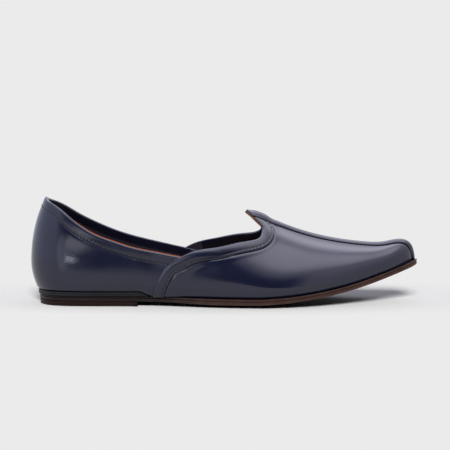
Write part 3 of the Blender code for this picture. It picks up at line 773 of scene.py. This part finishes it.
# %% Vamp
throat_v = np.concatenate([np.linspace(0.02, 2.0, 4000), np.linspace(2.0, 3.98, 4000)[1:]])
throat_line = fold(vamp_edge(throat_v), throat_v, OUTER)[::6]
row = np.linspace(-1.0, 1.0, 241)
vamp_v = 2.0 + 2.0 * (0.22 * row + 0.78 * row ** 3)
vamp_v = np.repeat(vamp_v[:, None], 200, 1)
step = np.linspace(0.0, 1.0, 200)[None, :]
step = step - 0.86 / (2.0 * math.pi) * np.sin(2.0 * math.pi * step)
edge = vamp_edge(vamp_v)
vamp_u = edge + (1.0 - edge) * step
from_edge = np.full(vamp_u.shape, 1.0)
from_edge[:, :90] = edge_distance(fold(vamp_u[:, :90], vamp_v[:, :90], OUTER), throat_line)
from_band = np.abs(ridge_distance(vamp_u, vamp_v)) - band_half(vamp_u)
band_groove = bell(from_band, 0.0004, 0.0006) * (from_band > -0.0004)
strip_groove = bell(from_edge, 0.0091, 0.0006)
height = lap_height(vamp_u, vamp_v) - tucked(vamp_v)
height = height - 0.0006 * band_groove - UNDER_STRIP * (from_band < 0.0)
height = height - 0.0005 * strip_groove - UNDER_STRIP * (from_edge < 0.0088)
height = height + 0.0002 * bell(from_edge, 0.0112, 0.0016) * (from_edge > 0.0091)
outside = lifted(vamp_u, vamp_v, height)
inner_u = edge + (0.955 - edge) * step
low = either_side(vamp_v)
inside = np.where((vamp_v > 2.0)[..., None], last(inner_u, low, INNER, WALL),
                  last(inner_u, low, OUTER, WALL))
# Painted shade: darker in the grooves beside the band and the strip, and just over the sole.
painted_shade = np.maximum(band_groove, strip_groove * 0.6)
painted_shade = np.maximum(painted_shade, 0.9 * (1.0 - smooth(0.02, 0.10, low)))
add_piece("vamp", [shell(outside, inside, painted_shade)], NAVY_CALF, ["upper"])

# %% [markdown]
# ## Folded strips round the openings
#
# Round each opening a strip of the same calf is folded over the edge and stitched down 7 mm
# in. We carry its profile along the edge: every profile point has a distance into the leather
# from the edge and a height over the last. The profile goes up over the strip, round the
# fold, down the inside and back through the wall.

# %% Profiles of the strips, in millimetres (into the leather, over the last)
COLLAR_FOLD = np.array([
    (9.0, -0.30), (8.6, -0.05), (8.2, 0.00), (7.8, 0.03), (7.4, 0.05), (7.0, -0.02), (6.6, 0.07),
    (5.4, 0.18), (3.8, 0.36), (2.6, 0.50), (1.8, 0.54), (1.1, 0.48), (0.6, 0.34), (0.2, 0.10),
    (0.0, -0.25), (0.0, -0.6), (0.2, -0.9), (1.0, -1.05), (4.5, -1.05),
])
THROAT_FOLD = np.array([
    (9.2, -0.45), (8.95, -0.10), (8.8, 0.20), (8.55, 0.50), (8.1, 0.70), (7.5, 0.74),
    (7.0, 0.64), (6.5, 0.76), (5.4, 0.92), (4.0, 1.03), (2.8, 1.02), (1.9, 0.94), (1.1, 0.76),
    (0.5, 0.48), (0.12, 0.10), (0.0, -0.35), (0.03, -0.8), (0.3, -1.15), (1.0, -1.30), (4.5, -1.30),
])
LINING_LIP = np.array([
    (2.0, -1.20), (-0.55, -1.20), (-0.70, -1.32), (-0.72, -1.65), (-0.50, -1.98), (0.3, -2.14),
    (2.0, -2.22), (5.6, -2.24), (6.3, -2.20), (6.6, -2.02), (6.6, -1.6), (4.0, -1.5),
])
RAW_EDGE = np.array([
    (2.0, -0.72), (-0.40, -0.74), (-0.62, -0.82), (-0.68, -1.0), (-0.62, -1.18), (-0.30, -1.28),
    (2.0, -1.28),
])


def carried(u, v, profile, lift=0.0, sink=0.0):
    """Profile carried along a curve on the last, a closed ring at each curve point.

    Near the edge a point is the edge point, plus its distance along the way in,
    plus its height along the way out; further in, it follows the last. The sink,
    in millimetres, moves what stands proud of the edge back into the leather.
    """
    start, out, into = across_curve(u, v)
    far_u, far_v = beside(u, v, profile[:, 0] * MM)
    height = profile[None, :, 1] * MM + lift
    on_last = fold(far_u, far_v, OUTER) + normal(far_u, far_v, OUTER) * height[..., None]
    inwards = profile[None, :, 0] + np.asarray(sink)[..., None] * (profile[:, 0] < 0.5)
    flat = start[:, None] + into[:, None] * (inwards * MM)[..., None]
    flat = flat + out[:, None] * height[..., None]
    near = (profile[:, 0] < 0.5)[None, :, None]
    return np.where(near, flat, on_last), far_u, far_v


def thread_dip(run, profile):
    """Small hollows where the thread goes down, a cosine of one dip each pitch."""
    across_row = bell(profile[:, 0], STITCH_INSET / MM, 0.45)[None, :]
    return across_row * (0.5 + 0.5 * np.cos(2.0 * math.pi * run / STITCH_PITCH))[:, None]


# %% Strips round the quarters' top edge
rings, ring_u, ring_v = carried(collar_u, collar_v, COLLAR_FOLD)
dip = thread_dip(collar_run, COLLAR_FOLD)
rings -= normal(ring_u, ring_v, OUTER) * (dip * 0.25 * MM)[..., None]
# Painted shade in the thread hollows.
seam = dip
collar_x = collar_line[:, 0] - HEEL_CENTRE_X
proud = 0.8 * smooth(-0.012, 0.006, collar_x) * (collar_u > 0.0)
lip, _, _ = carried(collar_u, collar_v, LINING_LIP, sink=0.75 * (1.0 - proud))
add_piece("collar_fold", [bar(rings, seam), bar(lip, 0.25)], NAVY_FOLD,
          ["collar_strip"])
shown = (collar_u > 0.0) & (collar_x > -0.014)
raw, _, _ = carried(collar_u[shown], collar_v[shown], RAW_EDGE, sink=0.75 * (1.0 - proud[shown]))
add_piece("collar_raw_edge", [bar(raw, 0.0)], RAW_LEATHER)

# %% Strips round the throat
edge_parts, raw_parts, throat_rows = [], [], []
for first, end in ((0.02, 2.0), (3.98, 2.0)):
    v = np.linspace(first, end, 5000)
    u, v, run = even(vamp_edge(v), v, CURVE_STEP)
    if first > end:
        u, v = u[::-1], v[::-1]
    far_u, far_v = beside(u, v, THROAT_FOLD[:, 0] * MM)
    under_band = np.abs(ridge_distance(far_u, far_v)) - band_half(far_u)
    lift = lap_height(far_u, far_v)
    show = smooth(0.0, 0.0016, under_band)
    height = np.where(THROAT_FOLD[None, :, 1] > 0.0, THROAT_FOLD[None, :, 1] * show, 0.0)
    rings, ring_u, ring_v = carried(u, v, THROAT_FOLD, lift + (height - np.maximum(
        THROAT_FOLD[None, :, 1], 0.0)) * MM - UNDER_STRIP * (1.0 - show))
    dip = thread_dip(run, THROAT_FOLD) * show
    rings -= normal(ring_u, ring_v, OUTER) * (dip * 0.25 * MM)[..., None]
    rings[..., 2] = np.maximum(rings[..., 2],
                               seat(plan(np.clip(ring_u, 0.0, 1.0), OUTER)[..., 0]) + CLEARANCE)
    # Painted shade in the thread hollows, at the strip's outer edge and where the strip runs under
    # the band.
    seam = np.maximum(dip, bell(THROAT_FOLD[:, 0], 9.0, 0.4)[None, :] * 0.7)
    seam = np.maximum(seam, 0.9 * (1.0 - smooth(0.0, 0.0014, under_band)))
    edge_parts.append(bar(rings, seam))
    kept = smooth(LAP_TOP + 0.06, LAP_TOP + 0.16, either_side(v)) > 0.02
    lip, _, _ = carried(u[kept], v[kept], LINING_LIP, sink=0.45)
    edge_parts.append(bar(lip, 0.25))
    bare = either_side(v) > 1.74
    raw, _, _ = carried(u[bare], v[bare], RAW_EDGE, sink=0.40)
    raw_parts.append(bar(raw, 0.0))
    throat_rows.append((u, v, run, show))
add_piece("throat_fold", edge_parts, NAVY_FOLD,
          ["throat_strip_outer", "throat_strip_inner"])
add_piece("throat_raw_edge", raw_parts, RAW_LEATHER)

# %% [markdown]
# ## Stitches
#
# A stitch is a short piece of waxed thread lying in a hollow. Each is a small closed form, a
# ring swept along a short line that ends in a point, and all of them are one mesh. Real
# thread is about 0.5 mm thick here. Ours is 0.6 mm, so that it shows, with a stitch each
# 2.6 mm.

# %% Stitches
def stitches(u, v, run, height, on_vamp):
    """Rings of small lozenges along a row beside a curve, all in one array."""
    at = np.arange(run[0] + STITCH_PITCH / 2.0, run[-1] - STITCH_PITCH / 2.0, STITCH_PITCH)
    row_u, row_v = beside(u, v, [STITCH_INSET])
    row_u, row_v = np.interp(at, run, row_u[:, 0]), np.interp(at, run, row_v[:, 0])
    out = normal(row_u, row_v, OUTER)
    lift = height + (lap_height(row_u, row_v) if on_vamp else np.zeros(len(at)))
    centre = fold(row_u, row_v, OUTER) + out * lift[:, None]
    along = np.gradient(centre, axis=0)
    along /= np.linalg.norm(along, axis=-1, keepdims=True)
    side = np.cross(out, along)
    place = np.array([-0.5, -0.44, -0.25, 0.25, 0.44, 0.5]) * STITCH_LENGTH
    thick = np.array([0.0, 0.75, 1.0, 1.0, 0.75, 0.0]) * THREAD_RADIUS
    turn = np.arange(6) * math.pi / 3.0
    ring = (centre[:, None, None] + along[:, None, None] * place[None, :, None, None]
            + side[:, None, None] * (thick[:, None] * np.cos(turn))[None, ..., None]
            + out[:, None, None] * (thick[:, None] * np.sin(turn))[None, ..., None])
    count = len(at)
    one = grid_faces(6, 6, closed=True)
    faces = (one[None] + 36 * np.arange(count)[:, None, None]).reshape(-1, 4)
    return ring.reshape(-1, 3), faces.tolist(), np.zeros(count * 36)


rows = [stitches(collar_u, collar_v, collar_run, 0.00002, False)]
for u, v, run, show in throat_rows:
    seen = (either_side(v) > 0.06) & (either_side(v) < 1.78)
    rows.append(stitches(u[seen], v[seen], run[seen], 0.00062, True))
add_piece("stitches", rows, NAVY_THREAD)

# %% [markdown]
# ## Centre band
#
# A rounded welt of calf covers the seam down the middle of the vamp. It starts at the tip of
# the peak, as wide as the peak is there, and runs down the nose to the sole.

# %% Centre band
BAND_PROFILE = np.array([
    (1.02, -0.16), (1.01, 0.05), (1.00, 0.19), (0.97, 0.33), (0.90, 0.43), (0.80, 0.55),
    (0.65, 0.70), (0.48, 0.84), (0.30, 0.937), (0.15, 0.984), (0.00, 1.00),
])
BAND_PROFILE = np.concatenate([BAND_PROFILE * (-1.0, 1.0), BAND_PROFILE[-2::-1]])
PEAK_U = float(edge_place(2.0))
peak_v = np.linspace(2.0, 1.67, 200)
t = np.linspace(0.0, 1.0, 420)
band_u = PEAK_U + 0.0004 + (0.9975 - PEAK_U) * (0.35 * t + 0.65 * t * t * (1.6 - 0.6 * t))
edge_v = np.interp(band_u, vamp_edge(peak_v), peak_v, right=0.0)
to_edge = np.where(edge_v > 0.0, -ridge_distance(band_u, edge_v), 1.0)
half = np.minimum(band_half(band_u), to_edge + 0.0001)
distance = half[:, None] * BAND_PROFILE[None, :, 0]
v = np.clip(at_ridge_distance(band_u, distance), 0.03, 3.97)
u = np.repeat(band_u[:, None], v.shape[1], 1)
crown = (GAP + band_crown(band_u)) * smooth(-0.0012, 0.0016, half)
height = np.where(BAND_PROFILE[:, 1] > 0.0, BAND_PROFILE[:, 1] * crown[:, None], -0.00035)
top = lifted(u, v, height)
base = lifted(u[:, ::-1], v[:, ::-1], np.full(height.shape, -0.0006))
# Painted shade along the band's edges and on its underside.
seam = np.repeat(smooth(0.97, 1.03, np.abs(BAND_PROFILE[:, 0]))[None, :], len(band_u), 0)
ring = np.concatenate([top, base[:, 1:-1]], 1)
seam = np.concatenate([seam, np.ones((len(band_u), top.shape[1] - 2))], 1)
add_piece("centre_band", [bar(ring, seam)], NAVY_CALF, ["centre_band"])

# %% [markdown]
# ## Sole, heel and insole
#
# Each layer of the sole is cut to the same outline, pressed, and its edge is trimmed, dyed
# and burnished. Rings go round the outline: from the middle of the underside, out to the
# edge, up its rounded corners and grooves, and back in over the top.

# %% Layers of the sole
def sole_margin(u):
    """How far the sole stands out of the feather: in at the heel, out at the toe."""
    ball = (EDGE_OUT_BALL - EDGE_OUT_HEEL) * smooth(0.30, 0.46, u)
    return EDGE_OUT_HEEL + ball + (EDGE_OUT_TOE - EDGE_OUT_BALL) * smooth(0.93, 1.0, u)


def sole_z(x, across):
    """Underside of the outsole."""
    return outsole_bottom(x) + edge_rise(x, across)


def place_of(x):
    """The u whose feather has this x."""
    u = np.linspace(0.0, 1.0, 2001)
    return float(np.interp(x, SHARE["feather_x"](u) * LENGTH, u))


def layer(bottom, top, edge_rows, margin, final=1.0, stations=260, dye=0.0):
    """Closed part of one layer between two heights, from rings round its outline.

    Edge rows are (inwards, up, darkness) in mm, up from the bottom if 0 or more, and
    down from the top if below 0. Inner rings run from the outline to its spine.
    The dye is the darkness that the edge takes on behind the waist.
    """
    t = np.linspace(0.0, 1.0, stations)
    u = final * (t - 0.135 * np.sin(2.0 * math.pi * t))
    sides = [plan(u, side) + plan_normal(u, side) * margin(u)[:, None] for side in (OUTER, INNER)]
    spine = (sides[0] + sides[1]) / 2.0
    across = [np.full(stations, -1.0), np.full(stations, 1.0)]
    outline, middle, share = [sides[0]], [spine], [across[0]]
    if final < 1.0:
        cut = np.linspace(-1.0, 1.0, 42)[1:-1]
        part = ((cut + 1.0) / 2.0)[:, None]
        outline.append(sides[0][-1] * (1.0 - part) + sides[1][-1] * part)
        middle.append(np.repeat(spine[-1:], 40, 0))
        share.append(cut)
    outline = np.concatenate(outline + [sides[1][::-1]])
    middle = np.concatenate(middle + [spine[::-1]])
    share = np.concatenate(share + [across[1]])
    along = np.roll(outline, -1, axis=0) - np.roll(outline, 1, axis=0)
    along /= np.maximum(np.linalg.norm(along, axis=-1, keepdims=True), 1e-9)
    inwards = np.stack([-along[:, 1], along[:, 0]], -1)
    rings, painted_shade_and_dye_values = [], []

    def ring(step_in, to_spine, up, seam):
        xy = outline + inwards * step_in * MM
        xy = xy * (1.0 - to_spine) + middle * to_spine
        here = share * (1.0 - to_spine)
        low, high = bottom(xy[:, 0], here), top(xy[:, 0], here)
        z = low + up * MM if up >= 0.0 else high + (up + 1e-6) * MM
        rings.append(np.concatenate([xy, z[:, None]], -1))
        painted_shade_and_dye_values.append(np.maximum(seam, dye * (1.0 - smooth(0.085, 0.150, xy[:, 0]))))

    inner_in = edge_rows[0][0]
    for to_spine in (1.0, 0.8, 0.6, 0.4, 0.2, 0.05):
        ring(inner_in, to_spine, 0.0, 0.3)
    for step_in, up, seam in edge_rows:
        ring(step_in, 0.0, up, seam)
    for to_spine in (0.05, 0.2, 0.4, 0.6, 0.8, 1.0):
        ring(edge_rows[-1][0], to_spine, -1e-6, 0.3)
    rings = np.stack(rings)
    return rings, grid_faces(*rings.shape[:2], closed=True).tolist(), np.stack(painted_shade_and_dye_values)


OUTSOLE_ROWS = ((1.6, 0.0, 0.2), (0.9, 0.04, 0.1), (0.45, 0.20, 0.0), (0.15, 0.50, 0.0),
                (0.02, 0.95, 0.0), (0.0, 1.45, 0.0), (0.04, 1.95, 0.0), (0.14, 2.28, 0.2),
                (0.34, 2.48, 0.8), (0.75, 2.58, 1.0), (1.6, 2.60, 1.0))
MIDSOLE_ROWS = ((1.6, 0.0, 1.0), (0.75, 0.0, 1.0), (0.32, 0.10, 0.7), (0.10, 0.32, 0.1),
                (0.0, 0.65, 0.0), (0.0, -0.60, 0.0), (0.10, -0.30, 0.0), (0.32, -0.10, 0.2),
                (0.75, -0.02, 0.6), (1.6, -0.001, 1.0))
add_piece("outsole", [layer(sole_z, lambda x, a: sole_z(x, a) + OUTSOLE_THICK, OUTSOLE_ROWS,
                            sole_margin, dye=0.75)],
          SOLE_EDGE, ["outsole"])
add_piece("midsole", [layer(lambda x, a: sole_z(x, a) + OUTSOLE_THICK + 0.00002,
                            lambda x, a: sole_z(x, a) + sole_thickness(x), MIDSOLE_ROWS,
                            sole_margin, dye=0.75)],
          SOLE_EDGE, ["midsole"])

# %% Heel and the black wedge over it
HEEL_ROWS = ((1.9, 0.0, 0.3), (1.2, 0.04, 0.1), (0.85, 0.22, 0.0), (0.66, 0.60, 0.0),
             (0.58, 1.20, 0.1), (0.72, 1.36, 1.0), (0.50, 1.52, 0.1), (0.40, 2.20, 0.0),
             (0.36, 2.72, 0.1), (0.50, 2.88, 1.0), (0.28, 3.04, 0.1), (0.18, 3.50, 0.0),
             (0.14, 3.80, 0.3), (0.40, 3.98, 1.0), (1.9, 3.99, 1.0))
RAND_ROWS = ((1.5, 0.0, 1.0), (0.60, 0.02, 1.0), (0.22, 0.16, 0.2), (0.10, 0.45, 0.0),
             (0.10, -1.9, 0.1), (0.26, -1.74, 1.0), (0.10, -1.58, 0.1), (0.08, -0.55, 0.0),
             (0.20, -0.20, 0.2), (0.60, -0.04, 1.0), (1.5, -0.02, 1.0))
add_piece("heel_block", [layer(lambda x, a: 0.0 * x, lambda x, a: 0.0 * x + HEEL_LIFT, HEEL_ROWS,
                               sole_margin, place_of(HEEL_BREAST_X), 150)],
          HEEL_EDGE, ["heel_block"])
RAND_FRONT = place_of(RAND_FADE_X + 0.65 * (RAND_END_X - RAND_FADE_X))
add_piece("heel_rand", [layer(lambda x, a: sole_z(x, a) + sole_thickness(x) + 0.00002,
                              lambda x, a: seat(x, a), RAND_ROWS,
                              lambda u: np.full(np.shape(u), -0.0002), RAND_FRONT, 150)],
          RAND_EDGE, ["heel_rand"])

# %% Insole
SOCK_ROWS = ((1.6, 0.0, 0.6), (0.6, 0.05, 0.6), (0.15, 0.30, 0.4), (0.0, 0.80, 0.3),
             (0.05, 1.30, 0.2), (0.30, 1.70, 0.1), (0.90, 1.93, 0.0), (1.6, 2.0, 0.0))


def sock_z(x, across):
    """Underside of the insole, over the wedge and down a gentle slope off it."""
    return sole_z(x, across) + sole_thickness(x) + GAP + RAND_THICK * (
        1.0 - smooth(RAND_FADE_X, INSOLE_RAMP_X, x))


add_piece("insole", [layer(sock_z, lambda x, a: sock_z(x, a) + 0.0020, SOCK_ROWS,
                           lambda u: np.full(np.shape(u), -WALL - 2.0 * GAP), 0.945)],
          SOCK_LEATHER, ["insole"])

# %% [markdown]
# ## Floor, light and camera
#
# The shoe stands on pale paper in a white tent. Close to the shoe the paper is plain paint
# and takes its shadow; further off it glows evenly, as overlit paper does in a product
# photograph. The tent is brightest overhead and behind the shoe, and has one dark opening
# on the camera's side, which the glossy side mirrors as its dark band. One card lights the
# heel's side and two small ones place its bright spots, which real leather would also get
# from its own unevenness. One lamp lights only the paper.

# %% Floor
PAPER = 0.83
PAINT = (0.104, 0.103, 0.101, 1.0)
GLOW_START = 0.078
GLOW_END = 0.135


def stage_material():
    """Dull paint near the shoe, which takes its shadow, and glowing paper further away."""
    made = bpy.data.materials.new("pale_paper")
    made.use_nodes = True
    tree = made.node_tree
    paint = tree.nodes["Principled BSDF"]
    paint.inputs["Base Color"].default_value = PAINT
    paint.inputs["Roughness"].default_value = 0.9
    paint.inputs["Specular IOR Level"].default_value = 0.1
    paper = add_node(tree, "ShaderNodeEmission", Color=(1.0, 1.0, 1.0, 1.0), Strength=PAPER)
    place = tree.nodes.new("ShaderNodeTexCoord").outputs["Object"]
    flat = add_node(tree, "ShaderNodeMapping", Vector=place, Location=(-0.052, -0.035, 0.0),
                    Scale=(0.45, 1.0, 1.0))
    away = add_node(tree, "ShaderNodeVectorMath", {"operation": "LENGTH"},
                    Vector=flat.outputs["Vector"])
    share = add_node(tree, "ShaderNodeMapRange", {"interpolation_type": "SMOOTHERSTEP"},
                     Value=away.outputs["Value"], From_Min=GLOW_START, From_Max=GLOW_END)
    mix = add_node(tree, "ShaderNodeMixShader", _0=share.outputs["Result"],
                   _1=paint.outputs["BSDF"], _2=paper.outputs["Emission"])
    tree.links.new(mix.outputs["Shader"], tree.nodes["Material Output"].inputs["Surface"])
    return made


wide = np.linspace(-4.0, 4.0, 81)
deep = np.linspace(-0.7, 4.0, 48)
paper = np.stack(np.broadcast_arrays(wide[None, :], deep[:, None], 0.0), -1)
mesh = bpy.data.meshes.new("paper_floor")
mesh.from_pydata(paper.reshape(-1, 3).tolist(), [], grid_faces(*paper.shape[:2]).tolist())
mesh.materials.append(stage_material())
floor = bpy.data.objects.new("paper_floor", mesh)
bpy.context.scene.collection.objects.link(floor)
floor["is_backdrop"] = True


# %% Light of the room
def room_light():
    """Light of a white studio tent, by the direction it comes from.

    Level light is TENT. It rises towards the overhead panel and towards the panel
    behind the shoe. The dark opening is a box in x and z on the -Y side. Below the
    horizon the tent is as bright as the paper. Its left is cooler than its right.
    """
    world = bpy.data.worlds.new("studio_tent")
    world.use_nodes = True
    tree = world.node_tree
    way = tree.nodes.new("ShaderNodeTexCoord").outputs["Generated"]
    axes = add_node(tree, "ShaderNodeSeparateXYZ", Vector=way).outputs

    def ramp(value, start, end, low, high):
        node = add_node(tree, "ShaderNodeMapRange", {"interpolation_type": "SMOOTHSTEP"},
                        Value=value, From_Min=start, From_Max=end, To_Min=low, To_Max=high)
        return node.outputs["Result"]

    def join(kind, first, second):
        return add_node(tree, "ShaderNodeMath", {"operation": kind}, _0=first,
                        _1=second).outputs["Value"]

    def towards(place):
        node = add_node(tree, "ShaderNodeVectorMath", {"operation": "DOT_PRODUCT"}, _0=way,
                        _1=Vector(place).normalized())
        return node.outputs["Value"]

    height = towards(OVERHEAD_WAY)
    light = join("ADD", ramp(height, 0.35, 0.85, TENT, TENT + 0.4),
                 ramp(height, 0.82, 0.96, 0.0, OVERHEAD))
    back = join("MULTIPLY", ramp(axes["Y"], 0.25, 0.60, 0.0, BEHIND),
                ramp(axes["Z"], 0.45, 0.80, 0.0, 1.0))
    light = join("ADD", light, back)
    aside = join("ABSOLUTE", join("SUBTRACT", axes["X"], OPENING_X), 0.0)
    dark = join("MULTIPLY", ramp(aside, OPENING_HALF - 0.14, OPENING_HALF + 0.12, 1.0, 0.0),
                ramp(axes["Z"], OPENING_TOP - 0.20, OPENING_TOP + 0.14, 1.0, 0.0))
    dark = join("MULTIPLY", dark, join("LESS_THAN", axes["Y"], 0.0))
    light = add_node(tree, "ShaderNodeMix", {"data_type": "FLOAT"}, _2=light, _3=PAPER,
                     _0=join("LESS_THAN", axes["Z"], 0.0)).outputs[0]
    light = join("MULTIPLY", light, join("SUBTRACT", 1.0, dark))
    seen = tree.nodes.new("ShaderNodeLightPath").outputs["Is Camera Ray"]
    strength = add_node(tree, "ShaderNodeMix", {"data_type": "FLOAT"}, _0=seen, _2=light,
                        _3=PAPER)
    cool = add_node(tree, "ShaderNodeMix", {"data_type": "RGBA"},
                    _0=ramp(axes["X"], -0.5, 0.6, 0.0, 1.0), _6=(0.96, 1.0, 1.22, 1.0),
                    _7=(1.0, 0.97, 1.07, 1.0))
    tint = add_node(tree, "ShaderNodeMix", {"data_type": "RGBA"}, _0=seen,
                    _6=cool.outputs[2], _7=(1.0, 1.0, 1.0, 1.0))
    background = tree.nodes["Background"]
    tree.links.new(tint.outputs[2], background.inputs["Color"])
    tree.links.new(strength.outputs[0], background.inputs["Strength"])
    bpy.context.scene.world = world


TENT = 0.93
OVERHEAD = 2.2
OVERHEAD_WAY = (0.05, -0.17, 1.0)
BEHIND = 2.0
OPENING_X = -0.04
OPENING_HALF = 0.50
OPENING_TOP = 0.66
room_light()

# %% Cards near the heel, and a lamp from the front for the paper alone
CARD_COLOUR = (0.96, 0.98, 1.07)
PAPER_LAMP = 36.0
PAPER_LAMP_ANGLE = math.radians(16.0)
PAPER_LAMP_WAY = (0.0, 0.875, -0.485)


def card(name, place, target, width, height, radiance):
    """Area light that the leather mirrors; its power is radiance times pi times its area."""
    light = bpy.data.lights.new(name, "AREA")
    light.shape = "ELLIPSE"
    light.color = CARD_COLOUR
    light.size = width
    light.size_y = height
    light.energy = radiance * math.pi * math.pi / 4.0 * width * height
    made = bpy.data.objects.new(name, light)
    made.location = place
    made.rotation_mode = "QUATERNION"
    made.rotation_quaternion = (Vector(target) - Vector(place)).to_track_quat("-Z", "Y")
    made.visible_camera = False
    bpy.context.scene.collection.objects.link(made)


card("left_card", (-0.190, -0.386, 0.090), (-0.005, -0.03, 0.050), 0.130, 0.210, 1.1)
card("heel_card", (-0.075, -0.362, 0.134), (-0.005, -0.03, 0.050), 0.110, 0.080, 2.1)
card("heel_slit", (-0.104, -0.366, 0.056), (-0.008, -0.03, 0.035), 0.070, 0.010, 17.0)
sun = bpy.data.lights.new("paper_light", "SUN")
sun.energy = PAPER_LAMP
sun.angle = PAPER_LAMP_ANGLE
sun_object = bpy.data.objects.new("paper_light", sun)
sun_object.rotation_mode = "QUATERNION"
sun_object.rotation_quaternion = Vector(PAPER_LAMP_WAY).to_track_quat("-Z", "Y")
bpy.context.scene.collection.objects.link(sun_object)
paper_only = bpy.data.collections.new("paper_only")
paper_only.objects.link(floor)
sun_object.light_linking.receiver_collection = paper_only
bpy.context.scene.view_settings.view_transform = "Standard"

# %% Camera
CAMERA_TARGET = Vector((0.1105, 0.0052, 0.0598))
CAMERA_TILT = math.radians(5.0)
CAMERA_DISTANCE = 1.7
SENSOR = 36.0
VIEW_WIDTH = 0.35028
forward = Vector((0.0, math.cos(CAMERA_TILT), -math.sin(CAMERA_TILT)))
lens = bpy.data.cameras.new("camera")
lens.sensor_width = SENSOR
lens.lens = SENSOR * CAMERA_DISTANCE / VIEW_WIDTH
camera = bpy.data.objects.new("camera", lens)
camera.location = CAMERA_TARGET - forward * CAMERA_DISTANCE
camera.rotation_mode = "QUATERNION"
camera.rotation_quaternion = forward.to_track_quat("-Z", "Y")
bpy.context.scene.collection.objects.link(camera)
bpy.context.scene.camera = camera

# %% Sizes against the CAD model
visual_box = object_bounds()
for label, box in (("cad", cad_box), ("visual", visual_box)):
    print(label, [[round(value / MM, 1) for value in corner] for corner in box], "mm")
